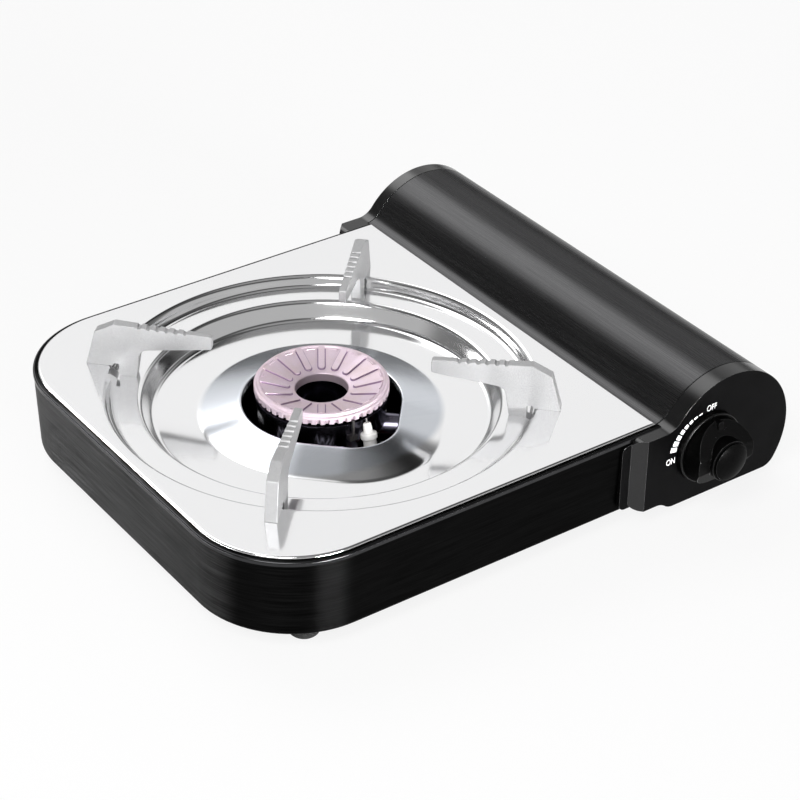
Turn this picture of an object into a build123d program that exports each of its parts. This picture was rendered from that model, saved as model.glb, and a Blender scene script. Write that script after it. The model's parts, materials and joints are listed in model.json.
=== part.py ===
"""Tabletop gas stove fed by a butane canister that lies in a bay beside the burner.

All lengths are millimetres. The pieces are drawn in the stove frame: its origin is on the
burner axis at the level of the top plate, X runs to the right towards the canister bay, Y to
the rear and Z up. The last lines move every piece so that the origin is at the bottom centre
of the whole stove.
"""
from build123d import *
from math import acos, atan2, cos, degrees, hypot, radians, sin, sqrt, tan
import os

# ---------------------------------------------------------------- driving dimensions
# Top plate, seen from above a rectangle with two round corners on the left
plate_width = 250.6
plate_depth = 265.4
plate_corner = 56.0
plate_sheet = 0.8
plate_skirt = 4.0             # height of the turned-down edge

# Dish in the top plate: radii and depths of its steps, on the upper surface
dish_radius = 117.2
ledge_radius = 114.6
ledge_inner = 98.8
ledge_drop = 6.0
floor_radius = 92.4
floor_drop = 16.0
step_round = 2.0
cone_width = 22.7             # from the opening's edge out to the foot of the cone
opening_radius = 43.8
opening_drop = 9.4
opening_lip = 3.5
bulge_reach = 29.0            # the opening bulges towards the ignition electrode
bulge_radius = 24.0
bulge_angle = -88.0

# Four cast arms that carry the pan
arm_count = 4
arm_first_angle = 45.0
arm_tip_radius = 60.4
arm_tip_low = 15.8
arm_tip_high = 23.6
arm_peak_radius = 115.0
arm_peak_high = 26.4
arm_shoulder_radius = 125.8
arm_shoulder_high = 20.9
arm_foot_radius = 131.4
arm_ledge_outer = 113.1
arm_ledge_inner = 103.3
arm_neck_radius = 100.6
arm_neck_high = 11.2
arm_tip_half = 2.1            # half thickness at the tip and at the foot
arm_foot_half = 3.35
notch_count = 6
notch_first = 75.3
notch_pitch = 5.12
notch_radius = 1.35
arm_screw_radius = 1.5
arm_screw_head = 3.2

# Body pan: side walls with an inward draft, a proud rim and a rounded bottom edge
wall_grow = 2.6               # how far the wall stands outside the plate, at the top
wall_grow_low = 1.1           # the same at the bottom
rim_proud = 0.3
rim_height = 2.4
rim_top = -1.2
plate_gap = 0.4               # between the rim and the plate's skirt
ledge_width = 5.0             # inward flange that carries the plate
wall_sheet = 0.8
pan_bottom = -48.2
pan_round = 3.0
vent_count = 6
vent_length = 26.0
vent_width = 4.0
vent_radius = 62.0

# Canister bay to the right of the plate, under the hinged lid
partition_gap = 1.9           # from the plate's right edge to the partition
bay_round_z = -23.4           # axis of the round outline of the lid, panel and cap
bay_round_radius = 43.7
bay_shoulder_z = -1.8         # flat top of the panel and cap beside the plate
bay_shoulder_round = 13.0
bay_bottom = -51.1
bay_corner = 9.4
bay_step_x = 121.5            # where the outline steps up to the pan's bottom
bay_step_width = 11.8
tray_wall_out = 1.7           # the tray's right wall past the outline's lower corner
tray_wall_top = -34.0
tray_lip_top = -40.0

# Front panel and rear cap
panel_front = -142.8
panel_back = -132.2
cap_rear = 145.7
cap_front = 137.6
panel_left = 105.6
panel_low = -46.8             # underside beside the pan
panel_corner = 6.0
panel_side_slope = 6.8         # the left side slopes back at 45 degrees
panel_wall = 2.4
panel_boss_x = 117.0
panel_boss_high = -11.0
panel_boss_low = -37.0
panel_boss_radius = 3.4
panel_flange_left = 100.2     # flat flange beside the panel and cap, on the pan's wall
panel_flange_high = -4.5
panel_flange_low = -45.6
panel_flange_corner = 4.0
panel_flange_sheet = 1.2
panel_screw_radius = 1.5
panel_screw_head = 3.0
panel_screw_head_thick = 1.85

# Hinged lid over the canister
lid_edge_gap = 0.7            # from the plate's right edge to the lid's inner edge
lid_edge_in = 1.6             # from the hollow curve's lowest point to the inner edge
lid_sheet = 0.8
lid_end_gap = 0.4
lid_flange = 1.9
lid_gap = 0.5                 # round the lid's inner edge
lid_low_angle = -22.3
hinge_inset = 4.48            # from the round outline to the hinge axis
hinge_angle = -22.64          # of the hinge axis on the round outline
hinge_pin_radius = 2.0
hinge_clearance = 0.06
hinge_open_angle = 95.0
ear_radius = 4.0
ear_sheet = 1.6
ear_gap = 0.6
ear_rivet_radius = 1.2

# Canister: 67.7 mm can lying on two rails, its collar towards the front
canister_radius = 33.85
canister_z = -15.4
rail_spacing = 24.0
rail_width = 4.0
rail_rear = 130.0
bulkhead_y = -60.0
bulkhead_sheet = 1.0
bulkhead_margin = 1.5
receiver_face = -56.0
receiver_flange = 27.0
receiver_flange_thick = 3.0
receiver_outer = 21.0
socket_radius = 17.6
socket_depth = 6.0
magnet_radius = 4.0
magnet_thick = 2.0
magnet_ring = 22.2
inlet_radius = 3.0
inlet_length = 4.0

# Governor that the knob opens, and its regulator on top
governor_left_of_knob = 7.1
governor_width = 41.0
governor_front = -110.0
governor_rear = -66.0
governor_low = -38.0
governor_high = 1.0
regulator_in = 19.0           # from the governor's left side to the regulator's axis
regulator_y = -88.0
regulator_radius = 16.0
regulator_high = 9.0
diaphragm_thick = 1.0
regulator_wall = 1.5
spring_radius = 4.5
spring_wire = 0.9
spring_turns = 4

# Knob on the front panel
knob_z = -19.0
knob_radius = 21.0
knob_skirt = 4.0
knob_gap = 0.4
grip_depth = 16.5             # from the panel to the front of the bar
grip_radius = 19.4            # round foot of the bar
grip_half_height = 4.6        # of the bar at its front
grip_foot_depth = 7.0         # where its two slopes start
pointer_reach = 20.2
pointer_radius = 1.8
pointer_depth = 10.2
boss_radius = 12.0
boss_depth = 19.2
cap_radius = 10.8
cap_thick = 1.4
cap_dome = 2.2
spindle_radius = 4.0
spindle_clearance = 0.08
knob_turn_angle = 95.0

# Igniter beside the governor, pushed by a cam on the spindle
cam_y = -124.0
cam_thick = 2.5
cam_inner = 12.5
cam_outer = 19.0
cam_run_out = 6.0             # degrees of ramp past the end of the turn
plunger_angle = 160.0
plunger_radius = 2.2
plunger_travel = 5.0
plunger_clearance = 0.08
cam_gap = 0.5
igniter_width = 12.0
igniter_front = -115.0
igniter_length = 31.0
igniter_clip_start = 8.0
igniter_clip_length = 14.0
igniter_clip_half = 4.0
igniter_clip_thick = 1.94
igniter_room = 5.08           # between the partition and the igniter
valve_pin_radius = 1.5
valve_pin_travel = 1.2
valve_pin_length = 12.0

# Burner
head_rim_radius = 35.5
head_rim_high = 3.1
head_hole_radius = 14.5
head_hole_high = -2.5
head_thick = 1.6
head_skirt = 5.6              # depth of the ring of flame ports
port_count = 48
port_width = 1.3
rib_count = 16
rib_width = 3.6
rib_high = 0.9
rib_inner = 17.5
rib_outer = 33.0
cup_radius = 36.6
cup_low_radius = 27.0
cup_top = -4.4
cup_shoulder_z = -20.0
cup_bottom = -34.0
cup_wall = 1.4
tube_angle = -40.0
tube_radius = 8.0
tube_wall = 1.0
tube_z = -25.5
tube_end = 112.0
bracket_sheet = 1.2
bracket_width = 16.0
tab_behind = 7.5              # from the electrode's foot to the back of its tab

# Gas jet, pipe and heat panel
jet_radius = 4.5
jet_length = 12.0
jet_gap = 1.0
jet_bracket_width = 14.0
jet_bracket_thick = 3.0
jet_bracket_foot = 10.0
pipe_radius = 2.6
pipe_bend = 9.0
pipe_run = 12.0
pipe_hole_clearance = 0.3
heat_panel_y = 22.0
heat_panel_width = 24.0
heat_panel_sheet = 1.0
heat_panel_left = 47.0

# Ignition electrode and its lead
electrode_x = 2.0
electrode_y = -46.2
electrode_low = -24.2
electrode_lean = 16.0
ceramic_radius = 3.6
ceramic_neck = 2.4
ceramic_length = 15.5
ceramic_collar = 4.5
ceramic_collar_high = 3.5
neck_length = 5.5
electrode_wire = 0.6
electrode_wire_length = 2.4
lead_radius = 1.3
lead_clip_width = 4.0
lead_clip_half = 2.4          # half width of the clip's arch outside
lead_clip_foot = 6.0
lead_clip_sheet = 0.5
lead_clip_high = 4.6
grommet_radius = 3.2
lead_inside = 13.2            # from the partition to the lead's bend in the pan

# Feet
foot_radius = 8.0
foot_low = -58.0
foot_left_x = -86.7
foot_right_of_bay = 2.7
foot_y = 113.0
foot_screw_radius = 1.5
foot_screw_head = 3.4
foot_screw_head_thick = 1.6

seat_clearance = 0.05         # a screw or pin in its hole
cut_over = 20.0               # how far cutting bodies run past what they cut

# ---------------------------------------------------------------- derived places
half_width = plate_width / 2
half_depth = plate_depth / 2
shelf_top = -plate_skirt
partition_x = half_width + partition_gap
lid_edge_x = half_width + lid_edge_gap
bay_round_x = lid_edge_x - lid_edge_in + sqrt(
    (bay_round_radius + bay_shoulder_round)**2
    - (bay_shoulder_z + bay_shoulder_round - bay_round_z)**2)
bay_corner_x = bay_round_x + sqrt(
    (bay_round_radius - bay_corner)**2 - (bay_bottom + bay_corner - bay_round_z)**2)
tray_right = bay_corner_x + tray_wall_out
hinge_x = bay_round_x + (bay_round_radius - hinge_inset) * cos(radians(hinge_angle))
hinge_z = bay_round_z + (bay_round_radius - hinge_inset) * sin(radians(hinge_angle))
tray_left = partition_x + wall_sheet
knob_x = (tray_left + igniter_room + igniter_width + igniter_clip_thick
          + governor_left_of_knob)
plunger_ring = -(governor_left_of_knob + igniter_clip_thick + igniter_width / 2) / cos(
    radians(plunger_angle))
governor_left = knob_x - governor_left_of_knob
governor_right = governor_left + governor_width
regulator_x = governor_left + regulator_in
foot_right_x = bay_round_x + foot_right_of_bay
pan_floor = pan_bottom + wall_sheet
bay_floor = bay_bottom + wall_sheet
wall_outer_y = half_depth + wall_grow
wall_inner_y = wall_outer_y - wall_sheet
lid_front = panel_back + lid_end_gap
lid_rear = cap_front - lid_end_gap
lid_notch_low = bay_shoulder_z - lid_flange - 2 * lid_gap
rail_top = canister_z - sqrt(canister_radius**2 - (rail_spacing / 2)**2)


# ---------------------------------------------------------------- helpers
def slab_z(face, low, high):
    """Extrude an XY face between two heights."""
    return extrude(Plane.XY.offset(low) * face, amount=high - low)


def slab_y(face, front, rear):
    """Extrude a face drawn as (x, z) between two Y planes."""
    return extrude(Plane.XZ.offset(-front) * face, amount=front - rear)


def box(x_low, x_high, y_low, y_high, z_low, z_high):
    centre = ((x_low + x_high) / 2, (y_low + y_high) / 2, (z_low + z_high) / 2)
    return Pos(*centre) * Box(x_high - x_low, y_high - y_low, z_high - z_low)


def post(x, y, radius, low, high):
    """Upright cylinder."""
    return Pos(x, y, (low + high) / 2) * Cylinder(radius, high - low)


def rod_y(x, z, radius, front, rear):
    """Cylinder along Y."""
    return Pos(x, (front + rear) / 2, z) * Rot(90, 0, 0) * Cylinder(radius, rear - front)


def rod_between(start, end, radius):
    """Cylinder from one point to another."""
    start, end = Vector(start), Vector(end)
    place = Plane(origin=start, z_dir=end - start)
    return extrude(place * Circle(radius), amount=(end - start).length)


def polar(angle, distance):
    return distance * cos(radians(angle)), distance * sin(radians(angle))


def plan_outline(grow, right):
    """Plate outline grown by a margin, with a square end at x = right."""
    left = -half_width - grow
    face = Pos((left + right) / 2, 0) * Rectangle(right - left, plate_depth + 2 * grow)
    corners = face.vertices().sort_by(Axis.X)[:2]
    return fillet(corners, plate_corner + grow)


def opening_outline(grow):
    """Burner opening grown by a margin: a round hole with a bulge, joined by tangents."""
    big, small = opening_radius + grow, bulge_radius + grow
    tangent = degrees(acos((big - small) / bulge_reach))
    bulge = polar(bulge_angle, bulge_reach)

    def on(centre, radius, angle):
        dx, dy = polar(angle, radius)
        return centre[0] + dx, centre[1] + dy

    left, right = bulge_angle - tangent, bulge_angle + tangent
    big_left, big_right = on((0, 0), big, left), on((0, 0), big, right)
    small_left, small_right = on(bulge, small, left), on(bulge, small, right)
    edges = [
        ThreePointArc(big_right, on((0, 0), big, bulge_angle + 180), big_left),
        Line(big_left, small_left),
        ThreePointArc(small_left, on(bulge, small, bulge_angle), small_right),
        Line(small_right, big_right),
    ]
    return make_face(edges)


def revolve_profile(points, radii=None):
    """Turn a closed (radius, height) outline about the burner axis."""
    face = Plane.XZ * make_face(Polyline(*points, close=True))
    return revolve(face, Axis.Z, 360)


def sheet_profile(points, radii, thickness):
    """Section of a bent sheet: a line with rounded bends, thickened downwards."""
    line = FilletPolyline(*points, radius=radii)
    start, end = Vector(*points[0]), Vector(*points[-1])
    low = [Vector(x, z - thickness) for x, z in points]
    under = FilletPolyline(*[(p.X, p.Y) for p in low], radius=radii)
    return make_face([line, Line(end, low[-1]), under, Line(low[0], start)])


# ---------------------------------------------------------------- bay outline
def shoulder_tangent():
    """Centre of the hollow curve between the flat shoulder and the round outline."""
    rise = bay_shoulder_z + bay_shoulder_round - bay_round_z
    reach = bay_round_radius + bay_shoulder_round
    return bay_round_x - sqrt(reach**2 - rise**2), bay_shoulder_z + bay_shoulder_round


def on_round(angle, radius=bay_round_radius):
    dx, dz = polar(angle, radius)
    return bay_round_x + dx, bay_round_z + dz


def hollow_arc(x_start):
    """Arc of the hollow curve from x_start up to where it meets the round outline."""
    centre = shoulder_tangent()
    meet_angle = degrees(atan2(bay_round_z - centre[1], bay_round_x - centre[0]))
    dx = max(x_start - centre[0], 0)
    start_angle = -90 + degrees(atan2(dx, sqrt(bay_shoulder_round**2 - dx**2)))
    points = []
    for angle in (start_angle, (start_angle + meet_angle) / 2, meet_angle):
        px, pz = polar(angle, bay_shoulder_round)
        points.append((centre[0] + px, centre[1] + pz))
    return points, meet_angle + 180


def bay_outline():
    """Outline of the front panel and the rear cap, as an (x, z) face."""
    hollow, meet_angle = hollow_arc(0)
    corner = (bay_corner_x, bay_bottom + bay_corner)
    corner_angle = degrees(atan2(corner[1] - bay_round_z, corner[0] - bay_round_x))
    mid = (corner_angle - 90) / 2
    dx, dz = polar(mid, bay_corner)
    step_right = (bay_step_x + bay_step_width, bay_bottom)
    step_left = (bay_step_x, panel_low)
    half = ((step_left[0] + step_right[0]) / 2, (step_left[1] + step_right[1]) / 2)
    edges = [
        Line((panel_left, bay_shoulder_z), hollow[0]),
        ThreePointArc(*hollow),
        ThreePointArc(hollow[2], on_round((meet_angle + corner_angle) / 2), on_round(corner_angle)),
        ThreePointArc(on_round(corner_angle), (corner[0] + dx, corner[1] + dz),
                      (corner[0], bay_bottom)),
        Line((corner[0], bay_bottom), step_right),
        TangentArc(step_right, half, tangent=(-1, 0)),
        TangentArc(step_left, half, tangent=(1, 0)),
        Line(step_left, (panel_left, panel_low)),
        Line((panel_left, panel_low), (panel_left, bay_shoulder_z)),
    ]
    face = make_face(edges)
    corners = face.vertices().sort_by(Axis.X)[:2]
    return fillet(corners, panel_corner)


def end_shell(rear_side):
    """Plastic shell that closes one end of the bay: the front panel or the rear cap."""
    near, far = (wall_outer_y - 2, cap_rear) if rear_side else (panel_front, panel_back)
    outer_face, inner_face = (cap_rear, cap_front) if rear_side else (panel_front, panel_back)
    sign = 1 if rear_side else -1
    plan_left = Pos((panel_left + bay_round_x) / 2, (near + far) / 2)
    plan = plan_left * Rectangle(bay_round_x - panel_left, far - near)
    left = plan.vertices().sort_by(Axis.X)[:2].sort_by(Axis.Y)[-1 if rear_side else 0]
    plan = chamfer(left, panel_side_slope)
    plan += Pos(bay_round_x + bay_round_radius, (near + far) / 2) * Rectangle(
        2 * bay_round_radius, far - near)
    outline = bay_outline()
    shell = slab_y(outline, near, far) & slab_z(plan, bay_bottom - 1, bay_round_radius)
    hollow = offset(outline, amount=-panel_wall)
    wall_face = outer_face - sign * panel_wall
    depths = sorted((wall_face, inner_face - sign * cut_over))
    core = slab_y(hollow, *depths)
    keep_side = box(panel_left + panel_side_slope, bay_round_x + bay_round_radius,
                    *depths, bay_bottom, bay_round_radius)
    shell -= core & keep_side
    # The part beside the pan ends at the pan's wall, the rest at the end of the lid
    shell -= box(lid_edge_x - lid_gap, 2 * bay_round_x, *sorted((inner_face, 0)),
                 bay_bottom - 1, bay_round_radius)
    front, rear = sorted((sign * (wall_outer_y - 2), wall_face))
    for height in (panel_boss_high, panel_boss_low):
        shell += rod_y(panel_boss_x, height, panel_boss_radius, front, rear)
    shell += end_flange(sign)
    shell -= pan_envelope()
    for height in (panel_boss_high, panel_boss_low):
        shell -= rod_y(panel_boss_x, height, panel_screw_radius, front, rear)
    front, rear = sorted((inner_face, wall_face))
    boss = rod_y(hinge_x, hinge_z, ear_radius, front, rear) & slab_y(outline, near, far)
    shell += boss
    shell -= rod_y(hinge_x, hinge_z, hinge_pin_radius, front, rear)
    return shell


def end_flange(sign):
    """Flat flange left of the panel or cap, against the pan's end wall."""
    right = panel_left + panel_side_slope
    face = Pos((panel_flange_left + right) / 2, (panel_flange_high + panel_flange_low) / 2)
    face *= Rectangle(right - panel_flange_left, panel_flange_high - panel_flange_low)
    face = fillet(face.vertices().sort_by(Axis.X)[:2], panel_flange_corner)
    wall_low = half_depth + wall_grow_low
    front, rear = sorted((sign * (wall_low - 1), sign * (wall_outer_y + panel_flange_sheet)))
    return slab_y(face, front, rear)


# ---------------------------------------------------------------- casing
def drafted(inset, low, right):
    """Block inside the pan's sloping walls, moved inwards by an inset."""
    top = Plane.XY.offset(rim_top) * plan_outline(wall_grow - inset, right)
    bottom = Plane.XY.offset(low) * plan_outline(wall_grow_low - inset, right)
    return loft([top, bottom], ruled=True)


def pan_envelope():
    """Outside of the pan and its rim, which the panel and the cap close against."""
    rim = slab_z(plan_outline(wall_grow + rim_proud, partition_x), rim_top - rim_height, rim_top)
    return drafted(0, pan_bottom, partition_x) + rim


def make_body_pan():
    over = partition_x + cut_over
    pan = drafted(0, pan_bottom, over)
    pan = fillet(pan.faces().sort_by(Axis.Z)[0].edges(), pan_round)
    inside = drafted(wall_sheet, pan_floor, over)
    pan -= fillet(inside.faces().sort_by(Axis.Z)[0].edges(), pan_round - wall_sheet)
    rim_low = rim_top - rim_height
    rim = plan_outline(wall_grow + rim_proud, over) - plan_outline(plate_gap, over + 1)
    pan += slab_z(rim, rim_low, rim_top)
    neck = plan_outline(wall_grow - wall_sheet / 2, over)
    neck -= plan_outline(plate_gap, over + 1)
    pan += slab_z(neck, shelf_top - wall_sheet, rim_low)
    shelf = plan_outline(wall_grow - wall_sheet / 2, over)
    shelf -= plan_outline(-ledge_width, over + 1)
    pan += slab_z(shelf, shelf_top - wall_sheet, shelf_top)
    pan -= box(partition_x, over + 1, -half_depth * 2, half_depth * 2, pan_bottom - 1, 1)
    # The lid reaches over the rear wall
    pan -= box(lid_edge_x - lid_gap, over + 1, 0, half_depth * 2, lid_notch_low, 1)
    for index in range(vent_count):
        x, y = polar(360 * index / vent_count, vent_radius)
        slot = SlotOverall(vent_length, vent_width)
        pan -= slab_z(Pos(x, y) * Rot(0, 0, 360 * index / vent_count + 90) * slot,
                      pan_bottom - 1, pan_floor + 1)
    for x, y in feet_places()[:2]:
        pan -= post(x, y, foot_screw_radius + seat_clearance, pan_bottom - 1, pan_floor + 1)
    for side in (-1, 1):
        for height in (panel_boss_high, panel_boss_low):
            front, rear = sorted((side * (wall_inner_y - 3), side * (wall_outer_y + 3)))
            pan -= rod_y(panel_boss_x, height, panel_screw_radius + seat_clearance, front, rear)
    return pan


def make_partition_wall():
    wall = box(partition_x, partition_x + wall_sheet, panel_back, wall_inner_y - 1,
               pan_bottom, lid_notch_low)
    wall += box(half_width - ledge_width, partition_x + wall_sheet,
                -half_depth + ledge_width + seat_clearance,
                half_depth - ledge_width - seat_clearance, lid_notch_low - wall_sheet, lid_notch_low)
    pipe = pipe_route()
    wall -= Pos(partition_x, pipe[1][1], tube_z) * Rot(0, 90, 0) * Cylinder(
        pipe_radius + pipe_hole_clearance, cut_over)
    start, end = lead_route()[2], lead_route()[3]
    wall -= rod_between(start, end, grommet_radius)
    wall -= box(partition_x - 1, tray_left + 1, heat_panel_y - heat_panel_width / 2 - 0.5,
                heat_panel_y + heat_panel_width / 2 + 0.5, pan_bottom - 1, pan_floor + 2)
    return wall


def make_bay_tray():
    """Floor of the canister bay with its two side walls, open at both ends."""
    section = Polyline((tray_left, tray_lip_top), (tray_left, bay_bottom),
                       (tray_right, bay_bottom), (tray_right, tray_wall_top),
                       (tray_right - wall_sheet, tray_wall_top),
                       (tray_right - wall_sheet, bay_floor), (tray_left + wall_sheet, bay_floor),
                       (tray_left + wall_sheet, tray_lip_top), close=True)
    tray = slab_y(make_face(section), panel_back, cap_front)
    tray -= box(tray_left - 1, tray_left + wall_sheet + 1,
                heat_panel_y - heat_panel_width / 2 - 0.5,
                heat_panel_y + heat_panel_width / 2 + 0.5, pan_floor - 0.5, tray_lip_top + 1)
    for x, y in feet_places()[2:]:
        tray -= post(x, y, foot_screw_radius + seat_clearance, bay_bottom - 1, bay_floor + 1)
    return tray


def make_front_panel():
    panel = end_shell(False)
    panel -= rod_y(knob_x, knob_z, spindle_radius + seat_clearance * 4,
                   panel_front - 1, panel_front + panel_wall + 1)
    return panel


def feet_places():
    return [(foot_left_x, -foot_y), (foot_left_x, foot_y),
            (foot_right_x, -foot_y), (foot_right_x, foot_y)]


def foot_seat(x):
    return pan_bottom if x < partition_x else bay_bottom


def make_rubber_feet():
    feet = []
    for x, y in feet_places():
        foot = post(x, y, foot_radius, foot_low, foot_seat(x))
        foot = chamfer(foot.edges().sort_by(Axis.Z)[0], 0.8)
        feet.append(foot - post(x, y, foot_screw_radius, foot_seat(x) - 5, foot_seat(x) + 1))
    return Compound(children=feet)


def make_foot_screws():
    screws = []
    for x, y in feet_places():
        floor = foot_seat(x) + wall_sheet
        screw = post(x, y, foot_screw_radius, foot_seat(x) - 5, floor)
        screws.append(screw + post(x, y, foot_screw_head, floor, floor + foot_screw_head_thick))
    return Compound(children=screws)


def make_panel_screws():
    """Screws from inside the pan's end walls into the bosses of the panel and cap."""
    screws = []
    for side in (-1, 1):
        for height in (panel_boss_high, panel_boss_low):
            slope = (wall_grow - wall_grow_low) / (rim_top - pan_floor)
            seat = wall_inner_y - slope * (rim_top - height + panel_screw_head) - seat_clearance
            front, rear = sorted((side * (wall_outer_y + 4.5), side * seat))
            screw = rod_y(panel_boss_x, height, panel_screw_radius, front, rear)
            front, rear = sorted((side * seat, side * (seat - panel_screw_head_thick)))
            screws.append(screw + rod_y(panel_boss_x, height, panel_screw_head, front, rear))
    return Compound(children=screws)


# ---------------------------------------------------------------- top plate and arms
def make_top_plate():
    bends = [step_round] * 4
    section = [(dish_radius + 2 * step_round, 0), (dish_radius, 0), (ledge_radius, -ledge_drop),
               (ledge_inner, -ledge_drop), (floor_radius, -floor_drop),
               (floor_radius - 2 * step_round, -floor_drop)]
    dish = revolve(Plane.XZ * sheet_profile(section, bends, plate_sheet), Axis.Z, 360)
    plate = slab_z(plan_outline(0, half_width) - Circle(dish_radius + 2 * step_round),
                   -plate_sheet, 0)
    skirt = plan_outline(0, half_width) - plan_outline(-plate_sheet, half_width - plate_sheet)
    plate += slab_z(skirt, -plate_skirt, -plate_sheet)
    floor = Circle(floor_radius - 2 * step_round) - opening_outline(cone_width)
    cone_top = Plane.XY.offset(-opening_drop) * opening_outline(0)
    cone_foot = Plane.XY.offset(-floor_drop) * opening_outline(cone_width)
    hill = loft([cone_foot, cone_top], ruled=True)
    base = slab_z(opening_outline(cone_width), -floor_drop - plate_sheet, -floor_drop)
    cone = hill + base - Pos(0, 0, -plate_sheet) * hill
    lip = opening_outline(plate_sheet) - opening_outline(0)
    cone -= slab_z(opening_outline(0), -floor_drop - 2, 0)
    plate = plate + dish + slab_z(floor, -floor_drop - plate_sheet, -floor_drop) + cone
    plate += slab_z(lip, -opening_drop - opening_lip, -opening_drop - plate_sheet / 2)
    for x, y in arm_screw_places():
        plate -= post(x, y, arm_screw_radius + seat_clearance, -floor_drop, 0)
    return plate


def arm_angles():
    return [arm_first_angle + 360 * index / arm_count for index in range(arm_count)]


def arm_screw_places():
    return [polar(angle, (arm_ledge_inner + arm_ledge_outer) / 2) for angle in arm_angles()]


def make_arm(angle):
    """One upright arm: its side outline is drawn as (distance from the axis, height)."""
    side = make_face(Polyline(
        (arm_tip_radius, arm_tip_low), (arm_tip_radius, arm_tip_high),
        (arm_peak_radius, arm_peak_high), (arm_shoulder_radius, arm_shoulder_high),
        (arm_foot_radius, 0), (arm_ledge_outer, 0), (arm_ledge_outer, -ledge_drop),
        (arm_ledge_inner, -ledge_drop), (arm_neck_radius, arm_neck_high), close=True))
    neck = side.vertices().sort_by_distance((arm_neck_radius, arm_neck_high))[0]
    side = fillet(neck, 5.0)
    slope = (arm_peak_high - arm_tip_high) / (arm_peak_radius - arm_tip_radius)
    for index in range(notch_count):
        s = notch_first + index * notch_pitch
        side -= Pos(s, arm_tip_high + (s - arm_tip_radius) * slope + 0.4) * Circle(notch_radius)
    arm = slab_y(side, -arm_foot_half, arm_foot_half)
    wedge = make_face(Polyline(
        (arm_tip_radius, -arm_tip_half), (arm_foot_radius, -arm_foot_half),
        (arm_foot_radius, arm_foot_half), (arm_tip_radius, arm_tip_half), close=True))
    arm &= slab_z(wedge, -ledge_drop, arm_peak_high)
    arm -= post((arm_ledge_inner + arm_ledge_outer) / 2, 0, arm_screw_radius,
                -ledge_drop, -ledge_drop + 6)
    return Rot(0, 0, angle) * arm


def make_support_screws():
    screws = []
    for x, y in arm_screw_places():
        under = -ledge_drop - plate_sheet
        screw = post(x, y, arm_screw_radius, under, -ledge_drop + 5.5)
        screws.append(screw + post(x, y, arm_screw_head, under - 2, under))
    return Compound(children=screws)


# ---------------------------------------------------------------- lid
def lid_section(inset):
    """Points of the lid's upper curve, moved inwards by an inset."""
    hollow, meet_angle = hollow_arc(lid_edge_x)
    centre = shoulder_tangent()

    def inward(point):
        away = Vector(point[0] - centre[0], point[1] - centre[1]).normalized()
        return point[0] + away.X * inset, point[1] + away.Y * inset

    radius = bay_round_radius - inset
    middle = (meet_angle + lid_low_angle) / 2
    return ([inward(p) for p in hollow],
            [on_round(meet_angle, radius), on_round(middle, radius),
             on_round(lid_low_angle, radius)])


def make_lid_shell():
    hollow, round_part = lid_section(0)
    hollow_in, round_in = lid_section(lid_sheet)
    edges = [ThreePointArc(*hollow), ThreePointArc(*round_part), Line(round_part[2], round_in[2]),
             ThreePointArc(*round_in), ThreePointArc(*hollow_in), Line(hollow_in[0], hollow[0])]
    lid = slab_y(make_face(edges), lid_front, lid_rear)
    lid += box(lid_edge_x, lid_edge_x + lid_sheet, lid_front, lid_rear,
               hollow[0][1] - lid_flange, hollow[0][1] - lid_sheet / 2)
    return lid


def ear_plane(rear_side):
    """Front and rear Y of one ear, just inside the end of the lid."""
    if rear_side:
        return lid_rear - ear_gap - ear_sheet, lid_rear - ear_gap
    return lid_front + ear_gap, lid_front + ear_gap + ear_sheet


def make_lid_ear(rear_side):
    """Tab that hangs the lid on its hinge pin, with a foot riveted inside the lid."""
    front, rear = ear_plane(rear_side)
    reach = bay_round_radius - lid_sheet
    blade = Pos(hinge_x, hinge_z) * Circle(ear_radius)
    tab = [on_round(lid_low_angle + 3, reach), on_round(-8, reach), on_round(4, reach),
           on_round(4, reach - 5), (hinge_x - ear_radius + 0.5, hinge_z + 1.5),
           (hinge_x, hinge_z - ear_radius + 0.5)]
    blade += make_face(Polyline(*tab, close=True))
    blade &= Pos(bay_round_x, bay_round_z) * Circle(reach)
    ear = slab_y(blade, front, rear)
    inner, outer = (front - 10, front) if rear_side else (rear, rear + 10)
    foot = Pos(bay_round_x, bay_round_z) * (Circle(reach) - Circle(reach - ear_sheet))
    sector = make_face(Polyline((bay_round_x, bay_round_z), on_round(-12, 2 * reach),
                                on_round(4, 2 * reach), close=True))
    ear += slab_y(foot & sector, inner, outer)
    ear -= rod_y(hinge_x, hinge_z, hinge_pin_radius + hinge_clearance, front - 1, rear + 1)
    for angle in rivet_angles():
        ear -= rivet_solid(rear_side, angle, ear_rivet_radius, 0)
    return ear


def rivet_angles():
    return (-9.0, 0.5)


def rivet_solid(rear_side, angle, radius, head):
    front, rear = ear_plane(rear_side)
    y = front - 5 if rear_side else rear + 5
    reach = bay_round_radius - lid_sheet
    x0, z0 = on_round(angle, reach - ear_sheet - head)
    x1, z1 = on_round(angle, reach)
    return rod_between((x0, y, z0), (x1, y, z1), radius)


def make_ear_rivets():
    rivets = []
    for rear_side in (False, True):
        for angle in rivet_angles():
            shank = rivet_solid(rear_side, angle, ear_rivet_radius, 0.4)
            head = rivet_solid(rear_side, angle, 2 * ear_rivet_radius, 0.8)
            reach = bay_round_radius - lid_sheet - ear_sheet
            core = Pos(bay_round_x, 0, bay_round_z) * Rot(90, 0, 0) * Cylinder(
                reach, 4 * half_depth)
            rivets.append(shank + (head & core))
    return Compound(children=rivets)


def make_lid_hinge_pins():
    pins = []
    front, rear = ear_plane(False)
    pins.append(rod_y(hinge_x, hinge_z, hinge_pin_radius, panel_front + panel_wall, rear + 1))
    front, rear = ear_plane(True)
    pins.append(rod_y(hinge_x, hinge_z, hinge_pin_radius, front - 1, cap_rear - panel_wall))
    return Compound(children=pins)


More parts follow.
